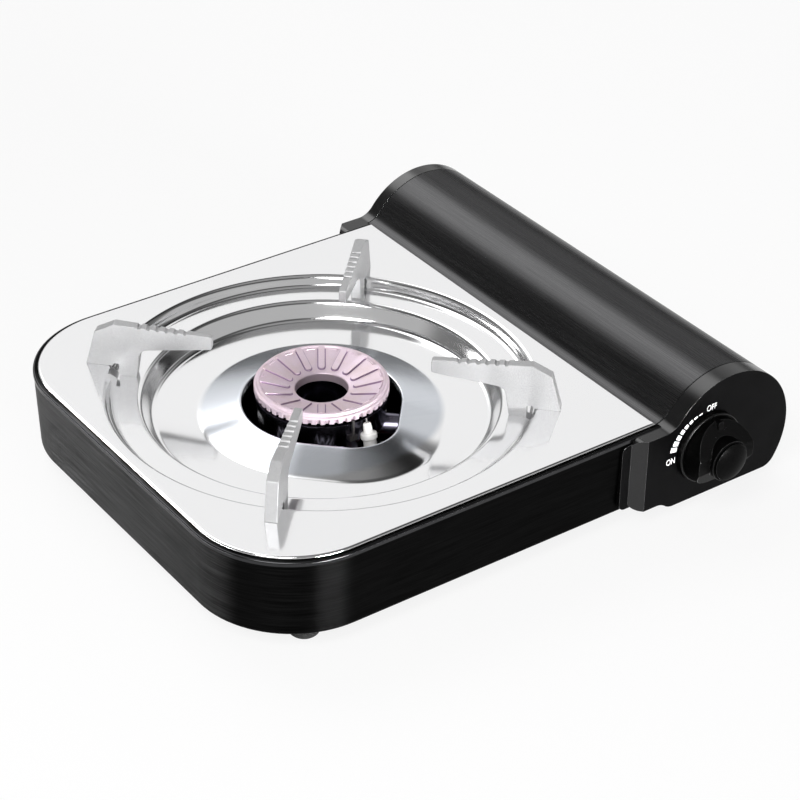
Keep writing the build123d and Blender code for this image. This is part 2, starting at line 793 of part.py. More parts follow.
# ---------------------------------------------------------------- canister bay
def make_canister_rails():
    rails = []
    for side in (-1, 1):
        x = bay_round_x + side * rail_spacing / 2
        rails.append(box(x - rail_width / 2, x + rail_width / 2, bulkhead_y + bulkhead_sheet,
                         rail_rear, bay_floor, rail_top - 0.5))
    return Compound(children=rails)


def make_bulkhead():
    """Upright plate across the bay, with the hole that holds the receiver."""
    face = Pos(bay_round_x, bay_round_z) * Circle(
        bay_round_radius - lid_sheet - bulkhead_margin)
    face += Pos(bay_round_x, bay_floor / 2 + bay_round_z / 2) * Rectangle(
        2 * bay_round_radius, bay_round_z - bay_floor)
    left, right = tray_left + wall_sheet, tray_right - wall_sheet
    face &= Pos((left + right) / 2, (bay_floor + bay_round_radius) / 2) * Rectangle(
        right - left, bay_round_radius - bay_floor)
    plate = slab_y(face, bulkhead_y, bulkhead_y + bulkhead_sheet)
    plate -= rod_y(bay_round_x, canister_z, receiver_outer + seat_clearance,
                   bulkhead_y - 1, bulkhead_y + 2)
    return plate


def make_canister_receiver():
    """Collar that takes the canister's mouth, with a key for the notch in its rim."""
    receiver = rod_y(bay_round_x, canister_z, receiver_outer, governor_rear, receiver_face)
    receiver += rod_y(bay_round_x, canister_z, receiver_flange,
                      receiver_face - receiver_flange_thick, receiver_face)
    receiver -= rod_y(bay_round_x, canister_z, socket_radius, receiver_face - socket_depth,
                      receiver_face + 1)
    receiver -= rod_y(bay_round_x, canister_z, inlet_radius, governor_rear - 1, receiver_face)
    for x, z in magnet_places():
        receiver -= rod_y(x, z, magnet_radius, receiver_face - magnet_thick, receiver_face + 1)
    receiver += box(bay_round_x - 2, bay_round_x + 2, receiver_face - 0.5, receiver_face + 3,
                    canister_z + socket_radius + 3, canister_z + receiver_flange)
    return receiver


def magnet_places():
    places = []
    for angle in (0, 180):
        dx, dz = polar(angle, magnet_ring)
        places.append((bay_round_x + dx, canister_z + dz))
    return places


def make_receiver_magnets():
    return Compound(children=[rod_y(x, z, magnet_radius, receiver_face - magnet_thick,
                                    receiver_face) for x, z in magnet_places()])


def make_inlet_nozzle():
    tip = receiver_face - socket_depth + inlet_length
    nozzle = rod_y(bay_round_x, canister_z, inlet_radius, governor_rear - 4, tip)
    return nozzle - rod_y(bay_round_x, canister_z, inlet_radius / 3, tip - 8, tip + 1)


# ---------------------------------------------------------------- governor
def make_governor_body():
    body = box(governor_left, governor_right, governor_front, governor_rear,
               governor_low, governor_high)
    body = fillet(body.edges().filter_by(Axis.Y), 3.0)
    body -= rod_y(bay_round_x, canister_z, inlet_radius, governor_rear - 4, governor_rear + 1)
    body -= rod_y(knob_x, knob_z, spindle_radius + spindle_clearance, governor_front - 1,
                  governor_front + 12)
    body -= rod_y(knob_x, knob_z, valve_pin_radius + spindle_clearance, governor_front,
                  governor_front + 12 + valve_pin_length + valve_pin_travel + 1)
    outlet = pipe_route()[1][1]
    body -= Pos(governor_left, outlet, tube_z) * Rot(0, 90, 0) * Cylinder(pipe_radius, 8)
    return body


def make_regulator_diaphragm():
    return post(regulator_x, regulator_y, regulator_radius, governor_high,
                governor_high + diaphragm_thick)


def make_regulator_cover():
    low = governor_high + diaphragm_thick
    cover = post(regulator_x, regulator_y, regulator_radius, low, regulator_high)
    cover = chamfer(cover.edges().sort_by(Axis.Z)[-1], 1.2)
    return cover - post(regulator_x, regulator_y, regulator_radius - 3 * regulator_wall,
                        low - 1, regulator_high - regulator_wall)


def make_regulator_spring():
    low = governor_high + diaphragm_thick + spring_wire / 2
    height = regulator_high - regulator_wall - spring_wire / 2 - low
    path = Helix(pitch=height / spring_turns, height=height, radius=spring_radius)
    start = Plane(origin=path @ 0, z_dir=path % 0)
    coil = sweep(start * Circle(spring_wire / 2), path=path)
    return Pos(regulator_x, regulator_y, low) * coil


def make_governor_bracket():
    """Angle that carries the governor on the floor of the bay."""
    middle = (governor_left + governor_right) / 2
    foot = box(middle - 12, middle + 12, governor_front + 4, governor_rear - 4,
               bay_floor, bay_floor + bracket_sheet)
    for side in (-1, 1):
        x = middle + side * 12
        foot += box(x - bracket_sheet / 2, x + bracket_sheet / 2, governor_front + 4,
                    governor_rear - 4, bay_floor, governor_low)
    return foot


def make_valve_spindle():
    return rod_y(knob_x, knob_z, spindle_radius, panel_front - knob_skirt,
                 governor_front + 11.5)


def make_valve_pin():
    front = governor_front + 11.8
    return rod_y(knob_x, knob_z, valve_pin_radius, front, front + valve_pin_length)


# ---------------------------------------------------------------- igniter
def plunger_place():
    dx, dz = polar(plunger_angle, plunger_ring)
    return knob_x + dx, knob_z + dz


def make_ignition_cam():
    """Disc on the spindle whose sloped face pushes the igniter's plunger."""
    disc = rod_y(knob_x, knob_z, cam_outer, cam_y, cam_y + cam_thick)
    middle = plunger_angle - knob_turn_angle / 2
    half = knob_turn_angle / 2
    tilt = plunger_travel / 2 / sin(radians(half))
    ring = Circle(cam_outer) - Circle(cam_inner)
    reach = 3 * cam_outer
    end = half + cam_run_out
    sector = make_face(Polyline((0, 0), polar(middle - end, reach), polar(middle, reach),
                                polar(middle + half, reach), close=True))
    ramp = slab_y(Pos(knob_x, knob_z) * (ring & sector), cam_y + cam_thick,
                  cam_y + cam_thick + plunger_travel)
    # Cut the ramp by a plane that falls towards the plunger's end of the sector
    side_x, side_z = polar(middle + 90, 1)
    slope = tilt / plunger_ring
    origin = (knob_x, cam_y + cam_thick + plunger_travel / 2, knob_z)
    normal = Vector(side_x * slope, 1, side_z * slope)
    cutter = extrude(Plane(origin=origin, z_dir=normal) * Rectangle(6 * cam_outer, 6 * cam_outer),
                     amount=2 * plunger_travel)
    cam = disc + (ramp - cutter)
    return cam - rod_y(knob_x, knob_z, spindle_radius, cam_y - 1, cam_y + cam_thick + 1)


def make_igniter_housing():
    x, z = plunger_place()
    half = igniter_width / 2
    housing = box(x - half, x + half, igniter_front, igniter_front + igniter_length,
                  z - half, z + half)
    housing = fillet(housing.edges().filter_by(Axis.Y), 1.5)
    return housing - rod_y(x, z, plunger_radius + plunger_clearance, igniter_front - 1,
                           igniter_front + plunger_travel + 8)


def make_igniter_plunger():
    x, z = plunger_place()
    front = cam_y + cam_thick + cam_gap + plunger_radius
    plunger = rod_y(x, z, plunger_radius, front, igniter_front + 7.5)
    return plunger + Pos(x, front, z) * Sphere(plunger_radius)


def make_igniter_clip():
    """Saddle that holds the igniter against the governor's left side."""
    x, z = plunger_place()
    right = x + igniter_width / 2
    front = igniter_front + igniter_clip_start
    return box(right, governor_left, front, front + igniter_clip_length,
               z - igniter_clip_half, z + igniter_clip_half)


# ---------------------------------------------------------------- knob
def knob_slab(face, near, far):
    """Extrude an (x, z) face from one distance in front of the panel to another."""
    return slab_y(Pos(knob_x, knob_z) * face, panel_front - far, panel_front - near)


def make_knob_skirt():
    skirt = knob_slab(Circle(knob_radius), knob_gap, knob_skirt)
    edges = skirt.edges().filter_by(GeomType.CIRCLE).sort_by(Axis.Y)
    skirt = chamfer(edges[0], 0.5)
    return skirt - knob_slab(Circle(spindle_radius), 0, knob_skirt + 1)


def make_knob_grip():
    """Round foot cut by two slopes to a bar, with a pointer rib and a round boss."""
    grip = knob_slab(Circle(grip_radius), knob_skirt, grip_depth)
    for side in (-1, 1):
        # Section of what a slope takes away, drawn as (distance from the panel, height)
        away = make_face(Polyline(
            (grip_foot_depth, side * grip_radius), (grip_depth, side * grip_half_height),
            (grip_depth + 1, side * grip_half_height), (grip_depth + 1, side * (grip_radius + 1)),
            (grip_foot_depth, side * (grip_radius + 1)), close=True))
        place = Plane(origin=(knob_x - cut_over, panel_front, knob_z), x_dir=(0, -1, 0),
                      z_dir=(1, 0, 0))
        grip -= extrude(place * away, amount=2 * cut_over)
    pointer = Pos(0, pointer_reach - pointer_radius) * Circle(pointer_radius)
    pointer += Pos(0, (pointer_reach - pointer_radius) / 2) * Rectangle(
        2 * pointer_radius, pointer_reach - pointer_radius)
    grip += knob_slab(pointer, knob_skirt, pointer_depth)
    return grip + knob_slab(Circle(boss_radius), knob_skirt, boss_depth)


def make_knob_cap():
    disc = knob_slab(Circle(cap_radius), boss_depth, boss_depth + cap_thick)
    ball_radius = (cap_radius**2 + cap_dome**2) / (2 * cap_dome)
    centre_y = panel_front - boss_depth - cap_thick - cap_dome + ball_radius
    dome = Pos(knob_x, centre_y, knob_z) * Sphere(ball_radius)
    dome &= knob_slab(Circle(cap_radius), boss_depth + cap_thick, boss_depth + cap_thick + cap_dome)
    return disc + dome


# ---------------------------------------------------------------- burner
def head_height(radius):
    """Height of the head's dished top at a radius."""
    share = (radius - head_hole_radius) / (head_rim_radius - head_hole_radius)
    return head_hole_high + share * (head_rim_high - head_hole_high)


def make_burner_head():
    skirt_low = head_rim_high - head_skirt
    head = revolve_profile([
        (head_hole_radius, head_hole_high), (head_rim_radius, head_rim_high),
        (head_rim_radius + 1.4, head_rim_high - 1.2), (head_rim_radius + 1.4, skirt_low),
        (head_rim_radius - 1.6, skirt_low), (head_rim_radius - 1.6, head_height(head_rim_radius - 1.6)
                                             - head_thick),
        (head_hole_radius + head_thick, head_height(head_hole_radius + head_thick) - head_thick),
        (head_hole_radius + head_thick, cup_top - 3), (head_hole_radius, cup_top - 3)])
    for index in range(port_count):
        port = box(head_rim_radius - 3, head_rim_radius + 3, -port_width / 2, port_width / 2,
                   skirt_low - 1, skirt_low + 2.6)
        head -= Rot(0, 0, 360 * index / port_count) * port
    slope = degrees(atan2(head_rim_high - head_hole_high, head_rim_radius - head_hole_radius))
    length = rib_outer - rib_inner
    middle = (rib_inner + rib_outer) / 2
    rib = extrude(SlotOverall(length, rib_width), amount=rib_high + 0.4)
    rib = Pos(middle, 0, head_height(middle) - 0.4) * Rot(0, -slope, 0) * rib
    for index in range(rib_count):
        head += Rot(0, 0, 360 * (index + 0.5) / rib_count) * rib
    return head


def make_burner_body():
    """Gas chamber under the head: a ring-shaped cup round the central air hole."""
    outer = [(cup_radius, cup_top), (cup_radius - 1.5, cup_shoulder_z),
             (cup_low_radius, cup_bottom)]
    inner = [(x - cup_wall, z) for x, z in outer[:2]]
    bore = head_hole_radius + head_thick + seat_clearance
    hub = bore + cup_wall
    chamber_floor = cup_bottom + cup_wall
    body = revolve_profile([
        *outer, (bore, cup_bottom), (bore, cup_top - 1), (hub, cup_top - 1),
        (hub, chamber_floor), (cup_low_radius - cup_wall, chamber_floor),
        inner[1], inner[0]])
    ux, uy = polar(tube_angle, 1)
    start, end = 20, cup_radius + 2
    body -= rod_between((ux * start, uy * start, tube_z), (ux * end, uy * end, tube_z),
                        tube_radius - tube_wall)
    return body


def cup_envelope():
    return revolve_profile([(cup_radius, cup_top), (cup_radius - 1.5, cup_shoulder_z),
                            (cup_low_radius, cup_bottom), (0, cup_bottom), (0, cup_top)])


def make_mixing_tube():
    ux, uy = polar(tube_angle, 1)
    start = (ux * (head_hole_radius + 8), uy * (head_hole_radius + 8), tube_z)
    end = (ux * tube_end, uy * tube_end, tube_z)
    tube = rod_between(start, end, tube_radius)
    flare = rod_between((ux * (tube_end - 6), uy * (tube_end - 6), tube_z), end, tube_radius + 1.5)
    over = (ux * (tube_end + 5), uy * (tube_end + 5), tube_z)
    tube = tube + flare - rod_between((0, 0, tube_z), over, tube_radius - tube_wall)
    return tube - cup_envelope()


def make_burner_bracket():
    """Strap under the burner body, screwed to the floor of the pan."""
    half = bracket_width / 2
    reach = cup_low_radius + 8
    strap = box(-reach, reach, -half, half, cup_bottom - bracket_sheet, cup_bottom)
    strap += post(0, 0, cup_low_radius - 4, cup_bottom - bracket_sheet, cup_bottom)
    strap -= post(0, 0, head_hole_radius, cup_bottom - 5, cup_bottom + 5)
    for side in (-1, 1):
        x = side * reach
        strap += box(x - bracket_sheet / 2, x + bracket_sheet / 2, -half, half,
                     pan_floor, cup_bottom)
        low, high = sorted((x, x + side * 10))
        strap += box(low, high, -half, half, pan_floor, pan_floor + bracket_sheet)
    # Tab that reaches out to the electrode
    back = electrode_y - tab_behind
    strap += box(electrode_x - 5, electrode_x + 5, back, -cup_low_radius + 8,
                 cup_bottom - bracket_sheet, cup_bottom)
    strap += box(electrode_x - 5, electrode_x + 5, back, back + bracket_sheet,
                 cup_bottom - bracket_sheet, electrode_low + 6)
    return strap - rod_between(electrode_axis(-15), electrode_axis(-5), lead_radius + 0.6)


def make_gas_jet():
    ux, uy = polar(tube_angle, 1)
    near = tube_end + jet_gap
    tip = rod_between((ux * near, uy * near, tube_z),
                      (ux * (near + 3), uy * (near + 3), tube_z), jet_radius / 2)
    nut = Plane(origin=(ux * (near + 3), uy * (near + 3), tube_z), z_dir=(ux, uy, 0))
    jet = tip + extrude(nut * RegularPolygon(jet_radius, 6), amount=jet_length - 3)
    far = near + jet_length
    return jet - rod_between((ux * (far - 4), uy * (far - 4), tube_z),
                             (ux * (far + 1), uy * (far + 1), tube_z), pipe_radius)


def make_jet_bracket():
    """Post that holds the jet in line with the mixing tube."""
    ux, uy = polar(tube_angle, 1)
    middle = tube_end + jet_gap + 6
    x, y = ux * middle, uy * middle
    stand = Pos(x, y, (pan_floor + tube_z) / 2) * Rot(0, 0, tube_angle) * Box(
        jet_bracket_thick, jet_bracket_width, tube_z - pan_floor)
    foot = Pos(x, y, pan_floor + bracket_sheet / 2) * Rot(0, 0, tube_angle) * Box(
        jet_bracket_foot, jet_bracket_width, bracket_sheet)
    room = rod_between((ux * (middle - 9), uy * (middle - 9), tube_z),
                       (ux * (middle + 9), uy * (middle + 9), tube_z), jet_radius + 0.05)
    return stand + foot - room


def pipe_route():
    """Corners of the pipe from the jet, round one bend, to the governor's left side."""
    ux, uy = polar(tube_angle, 1)
    start = tube_end + jet_gap + jet_length - 4
    bend = start + 4 + pipe_run
    return [(ux * start, uy * start, tube_z), (ux * bend, uy * bend, tube_z),
            (governor_left + 4, uy * bend, tube_z)]


def make_gas_pipe():
    path = FilletPolyline(*pipe_route(), radius=pipe_bend)
    ring = Plane(origin=path @ 0, z_dir=path % 0) * (Circle(pipe_radius) - Circle(pipe_radius / 2))
    return sweep(ring, path=path)


def make_heat_panel():
    """Strip that carries burner heat under the partition to the canister."""
    front = heat_panel_y - heat_panel_width / 2
    rear = heat_panel_y + heat_panel_width / 2
    low = pan_floor
    left = heat_panel_left
    end = bay_round_x - rail_spacing / 2 - rail_width / 2 - 2
    panel = box(left, end - 12, front, rear, low, low + heat_panel_sheet)
    gap = canister_z - sqrt(canister_radius**2 - (bay_round_x - end)**2)
    top = gap - 0.4
    panel += box(end - 12 - heat_panel_sheet, end - 12, front, rear, min(low, top - 1), max(low + 1, top))
    return panel + box(end - 12 - heat_panel_sheet, end, front, rear, top - heat_panel_sheet, top)


# ---------------------------------------------------------------- electrode and lead
def electrode_axis(distance):
    """Point on the electrode's leaning axis, a distance up from its lower end."""
    lean = radians(electrode_lean)
    return (electrode_x, electrode_y + distance * sin(lean), electrode_low + distance * cos(lean))


def make_electrode_ceramic():
    ceramic = rod_between(electrode_axis(0), electrode_axis(ceramic_length), ceramic_radius)
    ceramic += rod_between(electrode_axis(4), electrode_axis(5.5), ceramic_radius + 0.7)
    ceramic += rod_between(electrode_axis(ceramic_length - ceramic_collar_high),
                           electrode_axis(ceramic_length), ceramic_collar)
    ceramic += rod_between(electrode_axis(ceramic_length),
                           electrode_axis(ceramic_length + neck_length), ceramic_neck)
    return ceramic - rod_between(electrode_axis(-1), electrode_axis(ceramic_length + 8),
                                 electrode_wire)


def make_electrode_wire():
    return rod_between(electrode_axis(-2), electrode_axis(
        ceramic_length + neck_length + electrode_wire_length), electrode_wire)


def make_electrode_clamp():
    """Clip that ties the ceramic to the bracket's tab."""
    middle = electrode_axis(2.5)
    clamp = Pos(*middle) * Rot(-electrode_lean, 0, 0) * Cylinder(ceramic_radius + 1.2, 2.4)
    clamp -= rod_between(electrode_axis(-5), electrode_axis(8), ceramic_radius + 0.02)
    back = electrode_y - tab_behind + bracket_sheet
    arm = box(electrode_x - 2, electrode_x + 2, back, middle[1] - ceramic_radius,
              middle[2] - 1, middle[2] + 1)
    return clamp + (arm - rod_between(electrode_axis(-5), electrode_axis(8), ceramic_radius + 0.02))


def make_ground_pin():
    """Bent rod beside the ceramic that the spark jumps to, welded to the burner cup."""
    x, y = electrode_x - 7, -cup_radius - 1.2
    pin = post(x, y, 0.8, cup_shoulder_z + 6, -1.5)
    foot = box(x - 2.5, x + 2.5, y - 0.6, y + 4, cup_shoulder_z + 6, cup_shoulder_z + 9)
    return pin + (foot - cup_envelope())


def lead_route():
    """Corners of the lead from the igniter through the partition to the electrode."""
    x, z = plunger_place()
    low = pan_floor + lead_radius + 0.6
    inside = partition_x - lead_inside
    return [(x, igniter_front + igniter_length, z), (x, -73, z), (x - 8, -67, z - 9),
            (inside, -62, -34), (92, -53, low), (58, -53, low), (27, -52, low),
            electrode_axis(-18.5), electrode_axis(-2)]


def lead_radii():
    points = [Vector(*p) for p in lead_route()]
    radii = []
    for before, here, after in zip(points, points[1:], points[2:]):
        turn = (here - before).get_angle(after - here)
        shorter = min((here - before).length, (after - here).length)
        radii.append(0.45 * shorter / tan(radians(turn) / 2))
    return radii


def make_ignition_lead():
    path = FilletPolyline(*lead_route(), radius=lead_radii())
    return sweep(Plane(origin=path @ 0, z_dir=path % 0) * Circle(lead_radius), path=path)


def make_lead_clips():
    clips = []
    route = lead_route()
    for start, end in ((route[4], route[5]), (route[5], route[6])):
        x, y = (start[0] + end[0]) / 2, (start[1] + end[1]) / 2
        left, right = x - lead_clip_width / 2, x + lead_clip_width / 2
        room = lead_clip_half - lead_clip_sheet
        foot = box(left, right, y - lead_clip_foot, y + lead_clip_foot,
                   pan_floor, pan_floor + lead_clip_sheet)
        arch = box(left, right, y - lead_clip_half, y + lead_clip_half,
                   pan_floor, pan_floor + lead_clip_high)
        arch -= box(left - 1, right + 1, y - room, y + room,
                    pan_floor + lead_clip_sheet, pan_floor + lead_clip_high - lead_clip_sheet)
        clips.append(foot + arch)
    return Compound(children=clips)


# ---------------------------------------------------------------- assembly
def overall_shift():
    """Move from the stove frame to the bottom centre of the whole stove."""
    x_low = -half_width - wall_grow - rim_proud
    x_high = bay_round_x + bay_round_radius
    y_low = panel_front - boss_depth - cap_thick - cap_dome
    return -(x_low + x_high) / 2, -(y_low + cap_rear) / 2, -foot_low


def all_parts():
    parts = {
        "body_pan": make_body_pan(),
        "partition_wall": make_partition_wall(),
        "bay_tray": make_bay_tray(),
        "front_panel": make_front_panel(),
        "rear_cap": end_shell(True),
        "rubber_feet": make_rubber_feet(),
        "foot_screws": make_foot_screws(),
        "panel_screws": make_panel_screws(),
        "top_plate": make_top_plate(),
        "support_screws": make_support_screws(),
        "lid_shell": make_lid_shell(),
        "lid_ear_front": make_lid_ear(False),
        "lid_ear_rear": make_lid_ear(True),
        "lid_ear_rivets": make_ear_rivets(),
        "lid_hinge_pins": make_lid_hinge_pins(),
        "canister_rails": make_canister_rails(),
        "bay_bulkhead": make_bulkhead(),
        "canister_receiver": make_canister_receiver(),
        "receiver_magnets": make_receiver_magnets(),
        "inlet_nozzle": make_inlet_nozzle(),
        "governor_body": make_governor_body(),
        "governor_bracket": make_governor_bracket(),
        "regulator_diaphragm": make_regulator_diaphragm(),
        "regulator_cover": make_regulator_cover(),
        "regulator_spring": make_regulator_spring(),
        "valve_spindle": make_valve_spindle(),
        "valve_pin": make_valve_pin(),
        "ignition_cam": make_ignition_cam(),
        "igniter_housing": make_igniter_housing(),
        "igniter_plunger": make_igniter_plunger(),
        "igniter_clip": make_igniter_clip(),
        "knob_skirt": make_knob_skirt(),
        "knob_grip": make_knob_grip(),
        "knob_cap": make_knob_cap(),
        "burner_head": make_burner_head(),
        "burner_body": make_burner_body(),
        "burner_bracket": make_burner_bracket(),
        "mixing_tube": make_mixing_tube(),
        "gas_jet": make_gas_jet(),
        "jet_bracket": make_jet_bracket(),
        "gas_pipe": make_gas_pipe(),
        "heat_panel": make_heat_panel(),
        "electrode_ceramic": make_electrode_ceramic(),
        "electrode_wire": make_electrode_wire(),
        "electrode_clamp": make_electrode_clamp(),
        "ground_pin": make_ground_pin(),
        "ignition_lead": make_ignition_lead(),
        "lead_clips": make_lead_clips(),
    }
    for index, angle in enumerate(arm_angles(), start=1):
        parts[f"pan_support_{index}"] = make_arm(angle)
    return parts


def main():
    os.makedirs("parts", exist_ok=True)
    shift = Pos(*overall_shift())
    for name, shape in all_parts().items():
        export_step(shift * shape, f"parts/{name}.step")
    print("lead bend radii", [round(radius, 1) for radius in lead_radii()])


if __name__ == "__main__":
    main()
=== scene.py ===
"""Looks of a tabletop gas stove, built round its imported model.

Places are written in millimetres from the burner's axis at the level of the top plate.
"""
import json
from math import acos, asin, atan2, cos, degrees, hypot, pi, radians, sin, sqrt, tan

import bpy
from mathutils import Matrix, Vector


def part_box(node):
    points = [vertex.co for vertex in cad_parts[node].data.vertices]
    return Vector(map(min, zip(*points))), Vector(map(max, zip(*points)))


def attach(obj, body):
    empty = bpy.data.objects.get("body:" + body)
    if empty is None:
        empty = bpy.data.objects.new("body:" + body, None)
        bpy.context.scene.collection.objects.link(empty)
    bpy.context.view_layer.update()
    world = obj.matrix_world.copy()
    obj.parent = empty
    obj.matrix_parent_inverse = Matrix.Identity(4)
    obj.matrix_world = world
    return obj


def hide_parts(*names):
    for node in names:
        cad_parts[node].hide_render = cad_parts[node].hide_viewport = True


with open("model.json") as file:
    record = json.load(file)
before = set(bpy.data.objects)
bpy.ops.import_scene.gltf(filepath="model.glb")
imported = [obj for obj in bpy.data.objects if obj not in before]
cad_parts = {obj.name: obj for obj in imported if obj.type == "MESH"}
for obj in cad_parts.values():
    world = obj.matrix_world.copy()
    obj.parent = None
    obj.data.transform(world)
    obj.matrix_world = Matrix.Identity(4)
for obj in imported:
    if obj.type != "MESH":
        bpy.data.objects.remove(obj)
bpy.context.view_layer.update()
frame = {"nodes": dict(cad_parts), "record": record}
nodes = frame["nodes"]
MM = 0.001
RIBS = 16

# ---------------------------------------------------------------- camera
LENS = 110.834
EYE_FROM_BURNER = Vector((-0.62573, -0.94186, 0.72384))
LOOK = Vector((0.49025673, 0.68053175, -0.54454098))
LOOK_RIGHT = Vector((0.81575146, -0.57828364, 0.01172964))
LOOK_UP = Vector((0.30691675, 0.44996063, 0.83865222))

# The burner's axis at the level of the top plate
home = Vector([(a + b) / 2 for a, b in zip(*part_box("burner_head"))])
home.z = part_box("top_plate")[1][2]

eye = bpy.data.cameras.new("eye")
eye.sensor_width = 36
eye.lens = LENS
eye.clip_start = 0.05
camera = bpy.data.objects.new("camera", eye)
bpy.context.collection.objects.link(camera)
turn = Matrix((LOOK_RIGHT, LOOK_UP, -LOOK)).transposed().to_4x4()
camera.matrix_world = Matrix.Translation(home + EYE_FROM_BURNER) @ turn
bpy.context.scene.camera = camera
bpy.context.scene.view_settings.view_transform = "Standard"


# ---------------------------------------------------------------- shader sums
class Part:
    """A number that changes over a surface, so that sums can be written with it."""

    def __init__(self, bench, socket):
        self.bench = bench
        self.socket = socket

    def sum(self, operation, first, second):
        return self.bench.node("Math", {"operation": operation}, {0: first, 1: second})

    def __add__(self, other):
        return self.sum("ADD", self, other)

    def __radd__(self, other):
        return self.sum("ADD", other, self)

    def __sub__(self, other):
        return self.sum("SUBTRACT", self, other)

    def __rsub__(self, other):
        return self.sum("SUBTRACT", other, self)

    def __mul__(self, other):
        return self.sum("MULTIPLY", self, other)

    def __truediv__(self, other):
        return self.sum("DIVIDE", self, other)

    def __pow__(self, other):
        return self.sum("POWER", self, other)

    def between(self, low, high):
        """0 below low, 1 above high and smooth on the way."""
        return self.bench.node("MapRange", {"interpolation_type": "SMOOTHSTEP"},
                               {"Value": self, "From Min": low, "From Max": high})


class Bench:
    """The nodes of one material or of the world."""

    def __init__(self, tree):
        self.tree = tree

    def node(self, kind, settings=None, inputs=None, out=0):
        made = self.tree.nodes.new("ShaderNode" + kind)
        for key, value in (settings or {}).items():
            setattr(made, key, value)
        for key, value in (inputs or {}).items():
            socket = made.inputs[key]
            if isinstance(value, Part):
                self.tree.links.new(value.socket, socket)
            else:
                socket.default_value = value
        return Part(self, made.outputs[out])

    def feed(self, value, socket):
        self.tree.links.new(value.socket, socket)

    def place(self, centre=(0, 0, 0), stretch=(1, 1, 1), turned=(0, 0, 0)):
        """Object coordinates, measured from a centre and stretched."""
        spot = self.node("TexCoord", out=3)
        moved = self.node("VectorMath", {"operation": "SUBTRACT"}, {0: spot, 1: centre})
        return self.node("Mapping", {"vector_type": "POINT"},
                         {"Vector": moved, "Scale": stretch, "Rotation": turned})

    def axes(self, vector):
        """The three numbers of a vector."""
        parts = self.node("SeparateXYZ", None, {0: vector}).socket.node.outputs
        return [Part(self, part) for part in parts]

    def noise(self, vector, scale=1.0, detail=2.0, rough=0.5):
        return self.node("TexNoise", None, {"Vector": vector, "Scale": scale, "Detail": detail,
                                            "Roughness": rough})

    def mix(self, share, first, second):
        """A colour between two colours."""
        made = self.tree.nodes.new("ShaderNodeMix")
        made.data_type = "RGBA"
        for socket, value in zip((made.inputs[0], made.inputs[6], made.inputs[7]),
                                 (share, first, second)):
            if isinstance(value, Part):
                self.tree.links.new(value.socket, socket)
            elif isinstance(value, tuple):
                socket.default_value = (*value, 1)
            else:
                socket.default_value = value
        return Part(self, made.outputs[2])


class Finish(Bench):
    """One finish: a Principled shader and what feeds it."""

    def __init__(self, name, colour, rough, metal=0.0, **constants):
        self.material = bpy.data.materials.new(name)
        self.material.use_nodes = True
        super().__init__(self.material.node_tree)
        self.shader = self.tree.nodes["Principled BSDF"]
        self.set("Base Color", colour)
        self.set("Roughness", rough)
        self.set("Metallic", metal)
        for key, value in constants.items():
            self.set(key.replace("_", " "), value)

    def set(self, key, value):
        socket = self.shader.inputs[key]
        if isinstance(value, Part):
            self.feed(value, socket)
        elif isinstance(value, tuple):
            socket.default_value = (*value, 1)
        else:
            socket.default_value = value

    def bump(self, height, strength, distance):
        """Relief of a height that runs from 0 to 1, distance in millimetres."""
        relief = self.node("Bump", None, {"Height": height, "Strength": strength,
                                          "Distance": distance * MM})
        self.feed(relief, self.shader.inputs["Normal"])


# ---------------------------------------------------------------- finishes
def bright_steel():
    """Bright stainless sheet: the dish carries a turned grain, the cone a brushed one."""
    finish = Finish("bright stainless", (0.80, 0.80, 0.81), 0.1, 1.0)
    spot = finish.place(tuple(home))
    x, y, _ = finish.axes(spot)
    reach = (x * x + y * y) ** 0.5
    angle = finish.node("Math", {"operation": "ARCTAN2"}, {0: y, 1: x})
    rings = finish.node("CombineXYZ", None, {0: reach * 5200.0, 1: angle * 5.0, 2: 0.0})
    turned = finish.noise(rings, 1.0, 3.0, 0.6)
    strokes = finish.place(tuple(home), (22, 2300, 22), (0, 0, radians(-22)))
    brushed = finish.noise(strokes, 1.0, 4.0, 0.6)
    sheet = finish.noise(finish.place(tuple(home), (25, 2600, 25)), 1.0, 3.0, 0.6)
    smears = finish.noise(spot, 26.0, 2.0, 0.5)
    cone = (1 - reach.between(0.0640, 0.0690)) * reach.between(0.040, 0.043)
    dish = 1 - reach.between(0.117, 0.119)
    tone = finish.mix(cone * (0.55 + brushed * 0.5), (0.83, 0.83, 0.835), (0.58, 0.61, 0.66))
    finish.set("Base Color", tone)
    finish.set("Roughness", 0.07 + smears * 0.05 + cone * 0.10 + turned * dish * 0.04)
    relief = turned * dish * (1 - cone) * 0.12 + brushed * cone + sheet * (1 - dish) * 0.2
    finish.bump(relief, 0.25, 0.02)
    return finish.material


LEFT_WALL = (-0.1275, -0.1195)      # metres from the burner's axis, where the left wall ends and its painted light fades


def hairline(name, stretch, dark, light, rough, depth, edge, drawn=0.0, painted_left_light=1.0):
    """Black anodised sheet with fine lines along one direction; its left side can get painted light, a
    paler colour.
    """
    finish = Finish(name, dark, rough, 1.0, Specular_Tint=(edge, edge, edge), Anisotropic=drawn,
                    Anisotropic_Rotation=0.25)
    lines = finish.noise(finish.place(tuple(home), stretch), 1.0, 4.0, 0.62)
    wide = finish.noise(finish.place(tuple(home), tuple(c * 0.22 for c in stretch)), 1.0, 2.0, 0.5)
    tone = finish.mix((lines * 0.85 + wide * 0.15).between(0.36, 0.66), dark, light)
    x, y, _ = finish.axes(finish.place(tuple(home)))
    # Painted light: the colour is scaled up on the left wall, more towards the rear, as if a lamp lit
    # that side
    side = (1 - x.between(*LEFT_WALL)) * (painted_left_light - 1.0) * (1.0 + y * 4.5) + 1.0
    scaled = finish.node("VectorMath", {"operation": "SCALE"}, {0: tone, "Scale": side})
    finish.set("Base Color", scaled)
    finish.set("Roughness", rough + (lines - 0.5) * 0.2)
    finish.bump(lines, 1.0, depth)
    return finish.material


